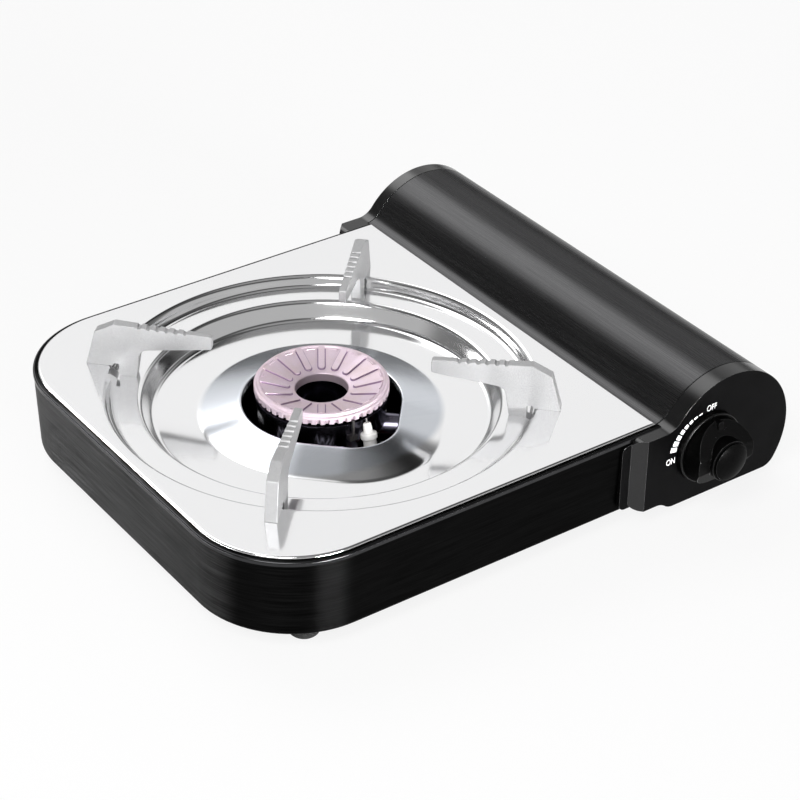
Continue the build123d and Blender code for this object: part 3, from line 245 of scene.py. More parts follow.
def moulding(name, colour, rough, grain, shine=0.5):
    """Moulded plastic with a fine grain."""
    finish = Finish(name, colour, rough, 0.0, Specular_IOR_Level=shine)
    pores = finish.noise(finish.place(), 2400.0, 3.0, 0.6)
    cloud = finish.noise(finish.place(), 60.0, 2.0, 0.5)
    darker, lighter = tuple(c * 0.8 for c in colour), tuple(c * 1.25 for c in colour)
    finish.set("Base Color", finish.mix(cloud.between(0.3, 0.7), darker, lighter))
    finish.set("Roughness", rough + (pores - 0.5) * 0.16 + (cloud - 0.5) * 0.05)
    finish.bump(pores, grain, 0.03)
    return finish.material


def speckled(name, colour, rough):
    """Matt black moulding with tiny bright specks."""
    finish = Finish(name, colour, rough, 0.0, Specular_IOR_Level=0.03)
    grains = finish.noise(finish.place(), 1700.0, 2.0, 0.7)
    specks = grains.between(0.74, 0.80)
    finish.set("Base Color", finish.mix(specks, colour, (0.30, 0.30, 0.31)))
    finish.set("Roughness", rough - specks * 0.2)
    finish.bump(grains, 0.35, 0.05)
    return finish.material


def heated(name, colour, rough):
    """Burner metal with painted shade: dark lines along the feet of its ribs."""
    finish = Finish(name, colour, rough, 0.6)
    x, y, _ = finish.axes(finish.place(tuple(home)))
    x, y = x * 1000.0, y * 1000.0
    reach = (x * x + y * y) ** 0.5
    turns = finish.node("Math", {"operation": "ARCTAN2"}, {0: y, 1: x}) * (RIBS / 2 / pi)
    off = turns - finish.node("Math", {"operation": "FLOOR"}, {0: turns}) - 0.5
    side = finish.node("Math", {"operation": "SINE"}, {0: off * (2 * pi / RIBS)}) * reach
    beside = finish.node("Math", {"operation": "ABSOLUTE"}, {0: side})
    short = finish.node("Math", {"operation": "MAXIMUM"}, {0: 19.3 - reach, 1: 0.0})
    away = (beside * beside + short * short) ** 0.5
    # Painted shade: a dark band just beside each rib, where it meets the dished top
    rib_foot_shade = away.between(1.7, 1.9) * (1 - away.between(2.0, 2.5)) * (1 - reach.between(32.2, 33.0))
    grains = finish.noise(finish.place(), 1500.0, 4.0, 0.75)
    cloud = finish.noise(finish.place(), 110.0, 3.0, 0.5)
    tone = finish.mix(grains.between(0.35, 0.65), tuple(c * 0.93 for c in colour), colour)
    warm = finish.mix(cloud.between(0.35, 0.75) * 0.35, tone, (0.62, 0.50, 0.44))
    finish.set("Base Color", finish.mix(rib_foot_shade * 0.9, warm, (0.16, 0.07, 0.22)))
    finish.set("Roughness", rough + (cloud - 0.5) * 0.12)
    finish.bump(grains, 0.12, 0.08)
    return finish.material


def blasted(name, colour, rough, grain, fleck=0.1, metal=1.0, fine=1500.0):
    """Bead-blasted casting: a sparkling fine grain."""
    finish = Finish(name, colour, rough, metal)
    grains = finish.noise(finish.place(), fine, 4.0, 0.75)
    cloud = finish.noise(finish.place(), 110.0, 3.0, 0.5)
    darker, lighter = tuple(c - fleck for c in colour), tuple(c + fleck for c in colour)
    finish.set("Base Color", finish.mix(grains.between(0.35, 0.65), darker, lighter))
    finish.set("Roughness", rough + (cloud - 0.5) * 0.12)
    finish.bump(grains, grain, 0.08)
    return finish.material


def painted_outside(name, colour, paint, rough, node):
    """Plated sheet whose outermost and lowest faces are painted."""
    finish = Finish(name, colour, rough, 1.0)
    low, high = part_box(node)
    spot = finish.place()
    x, _, z = finish.axes(spot)
    outer = x.between(high[0] - 0.5 * MM, high[0] - 0.3 * MM)
    under = 1 - z.between(low[2] + 0.3 * MM, low[2] + 0.5 * MM)
    covered = finish.node("Math", {"operation": "MAXIMUM"}, {0: outer, 1: under})
    cloud = finish.noise(spot, 90.0, 4.0, 0.6)
    fine = finish.noise(spot, 900.0, 2.0, 0.5)
    sheet = finish.mix(cloud.between(0.3, 0.7), tuple(c * 0.86 for c in colour), colour)
    finish.set("Base Color", finish.mix(covered, sheet, paint))
    finish.set("Metallic", 1 - covered)
    finish.set("Roughness", rough + (cloud - 0.5) * 0.18 + covered * 0.1)
    finish.bump(fine, 0.12, 0.03)
    return finish.material


def plated(name, colour, rough):
    """Plated or drawn metal with faint stains."""
    finish = Finish(name, colour, rough, 1.0)
    cloud = finish.noise(finish.place(), 90.0, 4.0, 0.6)
    fine = finish.noise(finish.place(), 900.0, 2.0, 0.5)
    stained = tuple(c * 0.86 for c in colour)
    finish.set("Base Color", finish.mix(cloud.between(0.3, 0.7), stained, colour))
    finish.set("Roughness", rough + (cloud - 0.5) * 0.18)
    finish.bump(fine, 0.12, 0.03)
    return finish.material


steel = bright_steel()
# The wall gets painted light on its left side, a much paler colour there
wall_black = hairline("hairline black wall", (36, 36, 2300), (0.002, 0.002, 0.002),
                      (0.008, 0.008, 0.0081), 0.36, 0.02, 0.6, 0.95, 10.0)
lid_black = hairline("hairline black lid", (2300, 30, 2300), (0.044, 0.044, 0.045),
                     (0.062, 0.062, 0.063), 0.27, 0.004, 0.62)
rim_black = plated("rolled rim", (0.05, 0.05, 0.052), 0.2)
panel_black = moulding("matt black moulding", (0.0015, 0.0015, 0.0016), 0.4, 0.12, 0.03)
panel_gloss = moulding("glossy black moulding", (0.002, 0.002, 0.0021), 0.22, 0.04, 0.5)
knob_black = speckled("grained knob black", (0.001, 0.001, 0.001), 0.5)
# Painted highlight: the moulding's rounded edges get a paler colour than its faces
panel_edge_highlight = moulding("moulding edge with painted highlight", (0.04, 0.04, 0.041), 0.15, 0.03, 1.0)
# Painted highlight: the knob's rounded edges get a paler colour than its faces
knob_edge_highlight = moulding("knob edge with painted highlight", (0.006, 0.006, 0.006), 0.25, 0.5, 0.3)
cap_black = moulding("glossy cap black", (0.0015, 0.0015, 0.0015), 0.3, 0.1, 0.02)
arm_metal = blasted("blasted arm", (0.38, 0.38, 0.385), 0.4, 0.4, 0.08, 0.45, 2600.0)
burner_pink = heated("heated burner metal", (0.71, 0.585, 0.665), 0.48)
burner_grey = plated("drawn burner cup", (0.20, 0.19, 0.24), 0.18)
zinc = plated("zinc plate", (0.60, 0.61, 0.62), 0.32)
tray_zinc = painted_outside("bay tray plating", (0.60, 0.61, 0.62), (0.012, 0.012, 0.012), 0.32,
                            "bay_tray")
zinc_dark = blasted("grey die casting", (0.26, 0.26, 0.27), 0.5, 0.3, 0.05)
brass = plated("turned brass", (0.72, 0.56, 0.28), 0.25)
copper = plated("drawn copper", (0.72, 0.42, 0.28), 0.25)
screw_metal = plated("screw plating", (0.66, 0.67, 0.68), 0.28)
rubber = moulding("black rubber", (0.014, 0.014, 0.014), 0.75, 0.5, 0.3)
membrane = moulding("membrane rubber", (0.10, 0.05, 0.04), 0.7, 0.4, 0.3)
ceramic = moulding("white ceramic", (0.92, 0.91, 0.89), 0.22, 0.06)
spark_wire = plated("spark wire", (0.20, 0.19, 0.19), 0.4)
magnet = plated("magnet plating", (0.70, 0.70, 0.72), 0.15)
lead_red = moulding("lead insulation", (0.50, 0.05, 0.035), 0.45, 0.15)
print_white = moulding("white print", (0.84, 0.84, 0.84), 0.5, 0.05)

by_slot = {
    "stainless": steel, "black_metal": wall_black, "black_plastic": panel_black,
    "knob_black": knob_black, "knob_cap": cap_black, "cast_arm": arm_metal,
    "burner_top": burner_pink, "burner_cast": burner_grey, "zinc": zinc, "zinc_dark": zinc_dark,
    "gas_brass": brass, "copper": copper, "screw": screw_metal, "rubber": rubber,
    "membrane": membrane, "ceramic": ceramic, "spark_wire": spark_wire, "magnet": magnet,
    "lead": lead_red,
}
for part in frame["record"]["subparts"]:
    for place in nodes[part["node"]].material_slots:
        place.material = by_slot[part["material_slot"]]
for place in nodes["bay_tray"].material_slots:
    place.material = tray_zinc


# ---------------------------------------------------------------- making pieces
def at(x, y, z):
    """A place in the scene from millimetres about the burner's axis."""
    return home + Vector((x, y, z)) * MM


def rest():
    """Object mode with nothing selected."""
    if bpy.context.mode != "OBJECT":
        bpy.ops.object.mode_set(mode="OBJECT")
    bpy.ops.object.select_all(action="DESELECT")


def pick(piece):
    rest()
    piece.select_set(True)
    bpy.context.view_layer.objects.active = piece


def named(name):
    """The primitive that was just added, under its own name."""
    piece = bpy.context.object
    piece.name = name
    piece.data.name = name
    return piece


def edit(piece):
    """Edit mode with all of a piece selected."""
    pick(piece)
    bpy.ops.object.mode_set(mode="EDIT")
    bpy.ops.mesh.select_all(action="SELECT")


def loft(name, rows, closed=False, caps=False):
    """A grid pulled over rows of points; closed joins the ends of each row."""
    if closed:
        rows = [[*row, row[0]] for row in rows]
    rest()
    bpy.ops.mesh.primitive_grid_add(x_subdivisions=len(rows[0]) - 1,
                                    y_subdivisions=len(rows) - 1, size=1)
    piece = named(name)
    spots = [spot for row in rows for spot in row]
    for vertex, spot in zip(piece.data.vertices, spots, strict=True):
        vertex.co = at(*spot)
    if closed:
        edit(piece)
        bpy.ops.mesh.remove_doubles(threshold=0.000002)
        if caps:
            bpy.ops.mesh.fill_holes(sides=0)
            bpy.ops.mesh.normals_make_consistent(inside=False)
    rest()
    return piece


def lathe(name, profile, axis, centre, steps=96):
    """A wire of (radius, height) points turned about an axis through a centre."""
    along = Vector(axis)
    side = Vector((1, 0, 0)) if abs(along.x) < 0.5 else Vector((0, 1, 0))
    side = (side - along * side.dot(along)).normalized()
    cross = along.cross(side)
    rows = []
    for radius, height in profile:
        row = []
        for step in range(steps):
            angle = 2 * pi * step / steps
            outward = side * cos(angle) + cross * sin(angle)
            row.append(tuple(Vector(centre) + along * height + outward * radius))
        rows.append(row)
    piece = loft(name, rows, closed=True)
    edit(piece)
    bpy.ops.mesh.remove_doubles(threshold=0.000005)
    bpy.ops.mesh.normals_make_consistent(inside=False)
    rest()
    return piece


def apply_all(piece):
    pick(piece)
    for modifier in list(piece.modifiers):
        bpy.ops.object.modifier_apply(modifier=modifier.name)


def soften(piece, width, segments=2, angle=38, material=-1):
    """Round the sharp edges; the rounding can have a material of its own."""
    edge = piece.modifiers.new("edges", "BEVEL")
    edge.width = width * MM
    edge.segments = segments
    edge.limit_method = "ANGLE"
    edge.angle_limit = radians(angle)
    edge.harden_normals = False
    edge.material = material
    apply_all(piece)


def thicken(piece, sheet):
    wall = piece.modifiers.new("sheet", "SOLIDIFY")
    wall.thickness = sheet * MM
    wall.offset = -1
    wall.use_even_offset = True
    apply_all(piece)


def finish_piece(piece, body, material, stands_for=(), smooth=34):
    """Smooth shading, finish, body and the nodes that the piece stands for."""
    pick(piece)
    bpy.ops.object.shade_smooth_by_angle(angle=radians(smooth))
    weigh = piece.modifiers.new("normals", "WEIGHTED_NORMAL")
    weigh.keep_sharp = True
    apply_all(piece)
    if material:
        piece.data.materials.clear()
        piece.data.materials.append(material)
    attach(piece, body)
    if stands_for:
        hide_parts(*stands_for)
    rest()
    return piece


def node_copy(node, name):
    """A copy of a model node with its loose triangles merged into whole faces."""
    rest()
    piece = bpy.data.objects.new(name, nodes[node].data.copy())
    bpy.context.collection.objects.link(piece)
    pick(piece)
    bpy.ops.mesh.customdata_custom_splitnormals_clear()
    edit(piece)
    bpy.ops.mesh.remove_doubles(threshold=0.00001)
    bpy.ops.mesh.dissolve_limited(angle_limit=radians(0.6))
    rest()
    return piece


def dressed(node, name, body, material, width, segments, edge=None, side=None):
    """A node's own shape with softened edges, which can have a finish of their own.

    A side finish goes on the faces that don't look forwards or backwards.
    """
    piece = node_copy(node, name)
    piece.data.materials.clear()
    for layer in (material, side or material, edge or material):
        piece.data.materials.append(layer)
    for face in piece.data.polygons:
        face.material_index = 1 if abs(face.normal.y) < 0.9 else 0
    soften(piece, width, segments, material=2 if edge else -1)
    finish_piece(piece, body, None, (node,))


def rounded(corners, steps=4):
    """A closed outline whose corners (x, y, radius) are rounded."""
    line = []
    for index, (x, y, radius) in enumerate(corners):
        here = Vector((x, y))
        before = (Vector(corners[index - 1][:2]) - here).normalized()
        after = (Vector(corners[(index + 1) % len(corners)][:2]) - here).normalized()
        if not radius:
            line.append((x, y))
            continue
        half = before.angle(after) / 2
        centre = here + (before + after).normalized() * (radius / sin(half))
        first = here + before * (radius / tan(half)) - centre
        last = here + after * (radius / tan(half)) - centre
        sweep = first.angle(last) * (1 if first.cross(last) > 0 else -1)
        for step in range(steps + 1):
            angle = sweep * step / steps
            spot = centre + Vector((first.x * cos(angle) - first.y * sin(angle),
                                    first.x * sin(angle) + first.y * cos(angle)))
            line.append(tuple(spot))
    return line


def inset(line, distance):
    """An outline drawn anticlockwise, moved inwards."""
    moved = []
    for index, (x, y) in enumerate(line):
        before, after = Vector(line[index - 1]), Vector(line[(index + 1) % len(line)])
        along = (after - before).normalized()
        moved.append((x - along.y * distance, y + along.x * distance))
    return moved


def about_axis(angle):
    """A turn about the burner's axis."""
    return Matrix.Translation(home) @ Matrix.Rotation(angle, 4, "Z") @ Matrix.Translation(-home)


def turned_copy(piece, angle, name):
    """A copy turned about the burner's axis."""
    other = bpy.data.objects.new(name, piece.data.copy())
    bpy.context.collection.objects.link(other)
    other.data.transform(about_axis(angle))
    return other


def joined(pieces):
    """All pieces as one, under the first one's name."""
    rest()
    for piece in pieces:
        piece.select_set(True)
    bpy.context.view_layer.objects.active = pieces[0]
    bpy.ops.object.join()
    return pieces[0]


# ---------------------------------------------------------------- top plate
HALF_WIDTH, HALF_DEPTH, CORNER = 125.3, 132.7, 56.0
OPENING, BULGE, BULGE_REACH, BULGE_AIM = 43.8, 24.0, 29.0, radians(-88)


def plate_edge(angle, grow):
    """Where a ray from the burner's axis meets the plate's outline."""
    across, deep, corner = HALF_WIDTH + grow, HALF_DEPTH + grow, CORNER + grow
    ux, uy = cos(angle), sin(angle)
    reach = min(across / max(abs(ux), 1e-9), deep / max(abs(uy), 1e-9))
    x, y = ux * reach, uy * reach
    if x < corner - across and abs(y) > deep - corner:
        cx, cy = corner - across, (deep - corner) * (1 if y > 0 else -1)
        along = cx * ux + cy * uy
        reach = along + sqrt(along**2 - cx**2 - cy**2 + corner**2)
        x, y = ux * reach, uy * reach
    return x, y


def opening_edge(angle, grow):
    """Where a ray meets the burner opening, which bulges towards the electrode."""
    big, small = OPENING + grow, BULGE + grow
    tangent = acos((big - small) / BULGE_REACH)
    off = abs((angle - BULGE_AIM + pi) % (2 * pi) - pi)
    reach = big
    if off < tangent:
        reach = big / cos(tangent - off)
        along = BULGE_REACH * cos(off)
        arc = along + sqrt(max(along**2 - BULGE_REACH**2 + small**2, 0))
        turned = atan2(arc * sin(off), arc * cos(off) - BULGE_REACH)
        if turned < tangent:
            reach = arc
    return reach * cos(angle), reach * sin(angle)


def make_top_plate():
    """One sheet from its turned-down edge over the dish's steps to the opening's lip."""
    count = 360
    angles = [2 * pi * step / count for step in range(count)]
    for sign in (1, -1):
        corner = atan2(sign * HALF_DEPTH, HALF_WIDTH) % (2 * pi)
        nearest = min(range(count), key=lambda k: abs(angles[k] - corner))
        angles[nearest] = corner
    rows = []
    for grow, height in ((0, -4.0), (0, -2.4), (0, -0.9), (-0.13, -0.5), (-0.45, -0.16),
                         (-0.95, 0), (-1.6, 0)):
        rows.append([(*plate_edge(angle, grow), height) for angle in angles])
    for radius, height in (
            (121.4, 0), (119.6, 0), (118.6, -0.12), (117.8, -0.5), (117.1, -1.1), (116.5, -2.0),
            (115.9, -3.2), (115.4, -4.3), (114.8, -5.1), (113.9, -5.7), (112.8, -5.96),
            (111.6, -6), (101.0, -6), (99.9, -6.06), (99.0, -6.35), (98.2, -6.95), (97.6, -7.8),
            (96.4, -9.9), (95.2, -12.0), (94.1, -13.9), (93.4, -14.9), (92.5, -15.6),
            (91.4, -15.94), (90.2, -16), (86.0, -16), (80.5, -16)):
        rows.append([(radius * cos(angle), radius * sin(angle), height) for angle in angles])
    for grow, height in ((25.4, -16), (24.2, -15.95), (23.0, -15.74), (21.8, -15.4),
                         (18.0, -14.3), (12.0, -12.55), (6.0, -10.8), (2.6, -9.85), (1.6, -9.6),
                         (0.9, -9.5), (0.35, -9.62), (0.05, -10.0), (0, -10.6), (0, -12.9)):
        rows.append([(*opening_edge(angle, grow), height) for angle in angles])
    plate = loft("top_plate_sheet", rows, closed=True)
    thicken(plate, 0.8)
    finish_piece(plate, "top_plate_unit", steel, ("top_plate",), 50)


make_top_plate()


# ---------------------------------------------------------------- pan arms
ARMS = 4
ARM_TIP, ARM_FOOT = 60.4, 131.4
TIP_HALF, FOOT_EXTRA = 2.1, 1.25      # half thickness at the tip, and how much the foot adds
NOTCHES, FIRST_NOTCH, NOTCH_PITCH, NOTCH_RADIUS = 6, 75.3, 5.12, 1.35
NOTCH_RAISED = 0.4            # centre of a notch above the top edge


def arm_outline():
    """Side of an arm as (distance from the burner's axis, height), anticlockwise."""
    tip, peak, tip_high, peak_high = ARM_TIP, 115.0, 23.6, 26.4
    line = rounded([(tip, 15.8, 1.3), (100.6, 11.2, 5.0), (103.3, -6, 0.25), (112.9, -6, 0.25),
                    (112.9, 1.5, 0.5), (116.2, 1.5, 0.5), (116.2, 0, 0.3), (ARM_FOOT, 0, 0.4),
                    (125.8, 20.9, 1.6), (peak, peak_high, 2.2), (tip, tip_high, 1.3)])
    end = line[-5:]
    line = line[:-5]
    half = degrees(asin(NOTCH_RAISED / NOTCH_RADIUS))
    for index in reversed(range(NOTCHES)):
        s = FIRST_NOTCH + NOTCH_PITCH * index
        centre = tip_high + (s - tip) * (peak_high - tip_high) / (peak - tip) + NOTCH_RAISED
        for step in range(9):
            angle = radians(-half + (-180 + 2 * half) * step / 8)
            line.append((s + NOTCH_RADIUS * cos(angle), centre + NOTCH_RADIUS * sin(angle)))
    return line + end


def make_arms():
    """Arms that get thicker outwards; the edges are rounded except where they stand."""
    line = arm_outline()
    # How far the outline steps in and the side steps back along the rounded edge
    bevel = ((0.4, 0.0), (0.2, 0.06), (0.06, 0.2), (0.0, 0.4))
    sides = [(cut, -1, off) for cut, off in bevel] + [(cut, 1, off) for cut, off in reversed(bevel)]
    placed = []
    for cut, sign, off in sides:
        row = []
        for (s1, z1), (s0, z0) in zip(inset(line, cut), line):
            share = 0.15 if z0 < 2.2 and s0 > 102 else 1
            s, z = s0 + (s1 - s0) * share, z0 + (z1 - z0) * share
            half = TIP_HALF + (s0 - ARM_TIP) / (ARM_FOOT - ARM_TIP) * FOOT_EXTRA
            row.append((s, sign * (half - min(off, half * 0.6)), z))
        placed.append(row)
    first = loft("pan_arm_1", placed, closed=True, caps=True)
    for index in range(ARMS):
        angle = radians(45 + 90 * index)
        last = index == ARMS - 1
        arm = first if last else bpy.data.objects.new("pan_arm", first.data.copy())
        if not last:
            bpy.context.collection.objects.link(arm)
        arm.name = f"pan_arm_{index + 1}"
        arm.data.transform(about_axis(angle))
        node = f"pan_support_{index + 1}"
        finish_piece(arm, "top_plate_unit", arm_metal, (node,), 40)


make_arms()


# ---------------------------------------------------------------- pan
RIM_OUT, RIM_IN = 2.9, 1.6    # the rim's outer edge and inside, past the plate's outline
RIM_TOP, RIM_LOW = -1.2, -3.6
HAIR = 0.1 * MM


def past_plate(spot, grow):
    """How far a place lies outside the plate's outline, which is first grown."""
    x, y = (spot.x - home.x) / MM, (spot.y - home.y) / MM
    ex, ey = plate_edge(atan2(y, x), grow)
    return hypot(x, y) - hypot(ex, ey)


def make_pan():
    """The pan with its rolled rim, which gets a finish of its own."""
    pan = node_copy("body_pan", "pan_walls")
    edit(pan)
    bpy.ops.mesh.select_all(action="DESELECT")
    bpy.ops.object.mode_set(mode="OBJECT")
    top, low = at(0, 0, RIM_TOP).z, at(0, 0, RIM_LOW).z
    for edge in pan.data.edges:
        spots = [pan.data.vertices[index].co for index in edge.vertices]
        edge.select = all(abs(past_plate(spot, RIM_OUT)) < 0.12 and abs(spot.z - top) < HAIR
                          for spot in spots)
    pick(pan)
    bpy.ops.object.mode_set(mode="EDIT")
    bpy.ops.mesh.select_mode(type="EDGE")
    bpy.ops.mesh.bevel(offset=1.0 * MM, segments=4, affect="EDGES")
    rest()
    pan.data.materials.clear()
    pan.data.materials.append(wall_black)
    pan.data.materials.append(rim_black)
    for face in pan.data.polygons:
        level_with = low - HAIR < face.center.z < top + HAIR
        face.material_index = 1 if level_with and past_plate(face.center, RIM_IN) > 0 else 0
    finish_piece(pan, "casing", None, ("body_pan",), 30)


make_pan()


# ---------------------------------------------------------------- lid
def lid_curve():
    """Upper curve of the lid from its inner edge to its outer one."""
    axis, level, reach = 169.32, -23.4, 43.69
    hx, hz, hollow, inner = 124.4, 11.2, 13.0, 126.0
    meet = atan2(level - hz, axis - hx)
    start = -pi / 2 + asin((inner - hx) / hollow)
    lowest = hz + hollow * sin(start)
    line = [(inner, lowest - 1.9), (inner, lowest - 0.4)]
    for step in range(13):
        angle = start + (meet - start) * step / 12
        line.append((hx + hollow * cos(angle), hz + hollow * sin(angle)))
    first, last = meet + pi, radians(-22.3)
    for step in range(1, 73):
        angle = first + (last - first) * step / 72
        line.append((axis + reach * cos(angle), level + reach * sin(angle)))
    return line


def make_lid():
    """Bent sheet over the bay."""
    line = lid_curve()
    rows = [[(x, y, z) for x, z in line] for y in (-131.8, -131.2, -60, 0, 60, 136.6, 137.2)]
    lid = loft("lid_sheet", rows)
    thicken(lid, 0.8)
    soften(lid, 0.2, 2, 60)
    finish_piece(lid, "lid", lid_black, ("lid_shell",), 40)


make_lid()

# ---------------------------------------------------------------- mouldings at the ends
for node, name in (("front_panel", "front_moulding"), ("rear_cap", "rear_moulding")):
    # The roundings get the paler edge finish, a painted highlight
    dressed(node, name, "casing", panel_black, 0.35, 3, panel_edge_highlight, panel_gloss)

# ---------------------------------------------------------------- knob
# The knob's roundings get the paler edge finish, a painted highlight
dressed("knob_skirt", "knob_dial", "knob", knob_black, 0.2, 2, knob_edge_highlight)
dressed("knob_grip", "knob_bar", "knob", knob_black, 0.35, 2, knob_edge_highlight)
dressed("knob_cap", "knob_button", "knob", cap_black, 0.25, 3, knob_edge_highlight)

# ---------------------------------------------------------------- print beside the knob
KNOB_AXIS = (154.12, -19.0)
PRINT_FACE = -142.86
MARKS, MARK_RADIUS, FIRST_MARK, MARK_PITCH = 8, 22.0, 102.5, 8.75


def make_scale():
    """Eight blocks that grow towards ON."""
    pieces = []
    for index in range(MARKS):
        first = radians(FIRST_MARK + MARK_PITCH * index)
        sweep = radians(5.6 + 0.2 * index)
        wide = 0.7 + 0.5 * index
        line = []
        for radius, turns in ((MARK_RADIUS + wide, (0, 0.5, 1)), (MARK_RADIUS, (1, 0.5, 0))):
            for t in turns:
                angle = first + sweep * t
                line.append((KNOB_AXIS[0] + radius * cos(angle),
                             KNOB_AXIS[1] + radius * sin(angle)))
        rows = [[(x, PRINT_FACE + depth, z) for x, z in line] for depth in (0.1, 0)]
        pieces.append(loft(f"mark_{index + 1}", rows, closed=True, caps=True))
    finish_piece(joined(pieces), "casing", print_white)


def make_word(word, reach, angle, tall):
    """A raised word at a reach and angle from the knob's axis."""
    rest()
    bpy.ops.object.text_add(location=(0, 0, 0))
    piece = named(f"word_{word.lower()}")
    piece.data.body = word
    piece.data.align_x = "CENTER"
    piece.data.align_y = "CENTER"
    piece.data.size = tall * MM
    piece.data.extrude = 0.05 * MM
    pick(piece)
    bpy.ops.object.convert(target="MESH")
    spot = at(KNOB_AXIS[0] + reach * cos(radians(angle)), PRINT_FACE + 0.05,
              KNOB_AXIS[1] + reach * sin(radians(angle)))
    upright = Matrix.Rotation(radians(90), 4, "X") @ Matrix.Diagonal((1, 1.35, 1, 1))
    bpy.context.object.data.transform(Matrix.Translation(spot) @ upright)
    finish_piece(bpy.context.object, "casing", print_white)


make_scale()
make_word("ON", 25.1, 184, 4.0)
make_word("OFF", 23.4, 86, 4.0)

# ---------------------------------------------------------------- burner
HOLE, RIM, RIM_HIGH, HOLE_HIGH, TEETH = 14.5, 35.5, 3.1, -2.5, 37.0
PORTS = 48
RIB_SUNK = 0.4                # how far ribs and bars reach into the ring


def dished(radius):
    """Height of the head's dished top at a radius."""
    return HOLE_HIGH + (radius - HOLE) / (RIM - HOLE) * (RIM_HIGH - HOLE_HIGH)


def raised(name, line, high, soft):
    """A flat bar on the dished top; its outline is (along, across) from the axis."""
    rows = []
    for cut, lift in ((0, -RIB_SUNK), (0, high - soft), (soft * 0.3, high - soft * 0.3), (soft, high)):
        rows.append([(x, y, dished(hypot(x, y)) + lift) for x, y in inset(line, cut)])
    return loft(name, rows, closed=True, caps=True)


def make_burner_head():
    """Dished ring with flame ports round its rim and ribs on top."""
    profile = [(HOLE + 1.6, -7.3), (HOLE, -7.3), (HOLE, -3.4), (HOLE + 0.1, -2.8),
               (HOLE + 0.45, -2.4), (HOLE + 1.1, dished(HOLE + 1.1)), (32.9, dished(32.9)),
               (33.3, dished(33.3) + 0.1), (33.6, 3.0), (33.9, 3.28), (34.5, 3.38), (35.1, 3.28),
               (35.5, 2.95), (35.65, 2.5), (35.7, 2.0), (35.9, 1.75), (36.5, 1.65),
               (TEETH - 0.2, 1.5), (TEETH, 1.2), (TEETH, 0.3), (TEETH, 0.1), (TEETH, -2.3),
               (TEETH - 0.2, -2.5), (33.9, -2.5), (33.9, 0.7),
               (HOLE + 1.6, dished(HOLE + 1.6) - 1.6), (HOLE + 1.6, -7.3)]
    steps = PORTS * 8
    rows = []
    for radius, height in profile:
        row = []
        for step in range(steps):
            angle = 2 * pi * step / steps
            gap = step % 8 in (0, 1, 2) and radius > TEETH - 0.3 and height < 0.2
            reach = 35.4 if gap else radius
            row.append((reach * cos(angle), reach * sin(angle), height))
        rows.append(row)
    head = loft("burner_ring", rows, closed=True)
    half, inner, outer = 1.8, 17.5, 33.6
    slot = rounded([(outer, half, 0), (inner, half, half - 0.05), (inner, -half, half - 0.05),
                    (outer, -half, 0)], 6)
    rib = raised("rib", slot, 0.9, 0.2)
    share = radians(360 / RIBS)
    turns = (0.3, 0.4, 0.5, 0.6, 0.7)
    arc = [((32.6 - side * 0.45) * cos(share * t), (32.6 - side * 0.45) * sin(share * t))
           for side, ts in ((-1, turns), (1, reversed(turns))) for t in ts]
    bar = raised("bar", arc, 0.5, 0.25)
    pieces = [head]
    for index in range(RIBS):
        pieces.append(turned_copy(rib, share * (index + 0.5), "rib"))
        pieces.append(turned_copy(bar, share * (index + 0.5), "bar"))
    bpy.data.objects.remove(rib)
    bpy.data.objects.remove(bar)
    finish_piece(joined(pieces), "casing", burner_pink, ("burner_head",), 30)


def make_electrode():
    """Stepped white ceramic that leans towards the flame ports."""
    lean = radians(16.0)
    profile = [(0, 0), (3.3, 0), (3.6, 0.3), (3.6, 4.0), (4.3, 4.2), (4.3, 5.3), (3.6, 5.5),
               (3.6, 11.6), (4.1, 11.9), (4.4, 12.2), (4.5, 12.6), (4.5, 14.8), (4.3, 15.2),
               (3.0, 15.6), (2.75, 16.0), (2.5, 16.8), (2.25, 20.2), (1.9, 20.8), (1.0, 21.0),
               (0, 21.0)]
    piece = lathe("electrode_body", profile, (0, sin(lean), cos(lean)), (2.0, -46.2, -24.2), 48)
    finish_piece(piece, "casing", ceramic, ("electrode_ceramic",), 40)


make_burner_head()
make_electrode()
dressed("burner_body", "burner_cup", "casing", burner_grey, 0.5, 3)

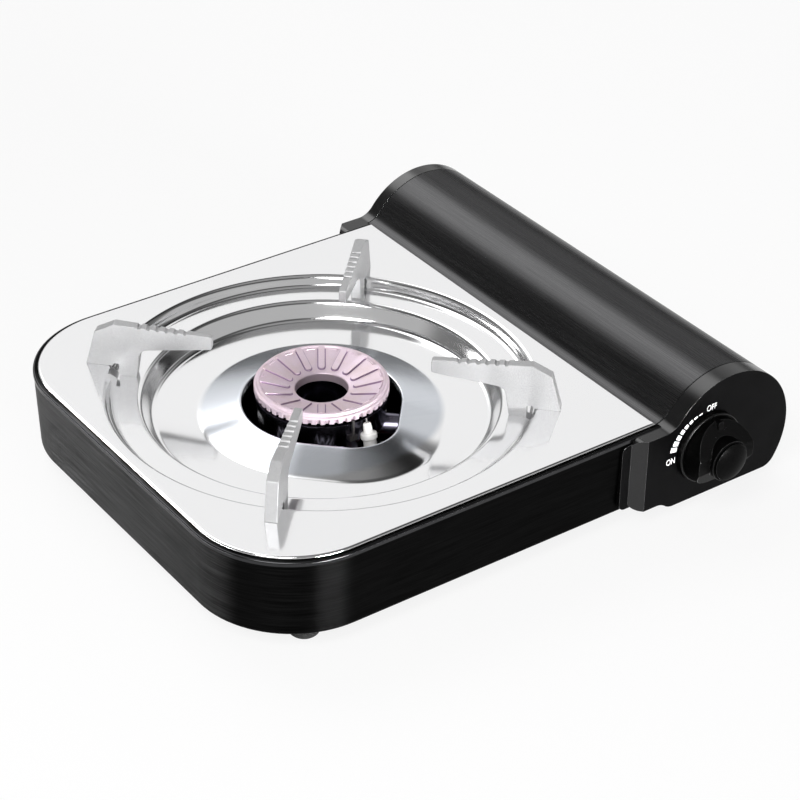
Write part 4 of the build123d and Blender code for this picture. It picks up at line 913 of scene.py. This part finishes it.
# ---------------------------------------------------------------- stage
rest()
bpy.ops.mesh.primitive_plane_add(size=12)
floor = named("studio_floor")
paper = Finish("studio paper", (0.88, 0.88, 0.88), 0.9)
rays = paper.node("LightPath").socket.node.outputs
seen = Part(paper, rays["Is Camera Ray"]) + Part(paper, rays["Is Glossy Ray"])
seen = seen + Part(paper, rays["Is Transmission Ray"])
matt = Part(paper, paper.shader.outputs[0])
glow = paper.node("Emission", None, {"Color": (1, 1, 1, 1), "Strength": 1.0})
lit = paper.node("MixShader", None, {0: seen * 0.86, 1: matt, 2: glow})
paper.feed(lit, paper.tree.nodes["Material Output"].inputs["Surface"])
floor.data.materials.append(paper.material)

world = bpy.data.worlds.new("studio")
bpy.context.scene.world = world
world.use_nodes = True
sky = Bench(world.node_tree)
direction = sky.node("TexCoord", out=0)


def towards(axis):
    """1 in the direction of an axis and -1 opposite to it."""
    return sky.node("VectorMath", {"operation": "DOT_PRODUCT"}, {0: direction, 1: axis}, 1)


height = towards((0, 0, 1))
level = (1.0001 - height * height) ** 0.5
walls = height.between(0.06, 0.32) * (1 - height.between(0.62, 0.75))
rear = (towards((0.5, 0.866, 0)) / level).between(0.45, 0.85)
left_gap = (towards((-0.574, 0.819, 0)) / level).between(0.70, 0.90)
right_gap = (towards((0.996, -0.087, 0)) / level).between(0.85, 0.96)
softbox = towards((0.070, 0.683, 0.727)).between(0.945, 0.985)
ceiling = height.between(0.86, 0.95)
shade = towards((0.62, 0.33, 0.71)).between(0.965, 0.992)
left_card = (towards((-0.848, 0.530, 0)) / level).between(0.80, 0.93)
left_card = (1 - height.between(0.08, 0.14)) * left_card
front_card = (towards((0.049, -0.999, 0)) / level).between(0.974, 0.980)
front_card = (1 - height.between(0.10, 0.16)) * front_card
sides = walls * (1 - left_gap * 0.7) * (1 - right_gap * 0.85)
light = 0.08 + sides * 0.42 + walls * rear * 0.52
light = light * (1 - shade * 0.8) + ceiling * 0.25
light = light + softbox * 3.2 + left_card * 14.0 + front_card * 110.0
sky.feed(light, world.node_tree.nodes["Background"].inputs["Strength"])
world.node_tree.nodes["Background"].inputs["Color"].default_value = (1, 1, 1, 1)

key = bpy.data.lights.new("key softbox", "AREA")
key.shape = "RECTANGLE"
key.size, key.size_y = 0.7, 0.7
key.energy = 12
holder = bpy.data.objects.new("key softbox", key)
bpy.context.collection.objects.link(holder)
holder.location = at(-800, -560, 1150)
holder.rotation_euler = (home - holder.location).to_track_quat("-Z", "Y").to_euler()
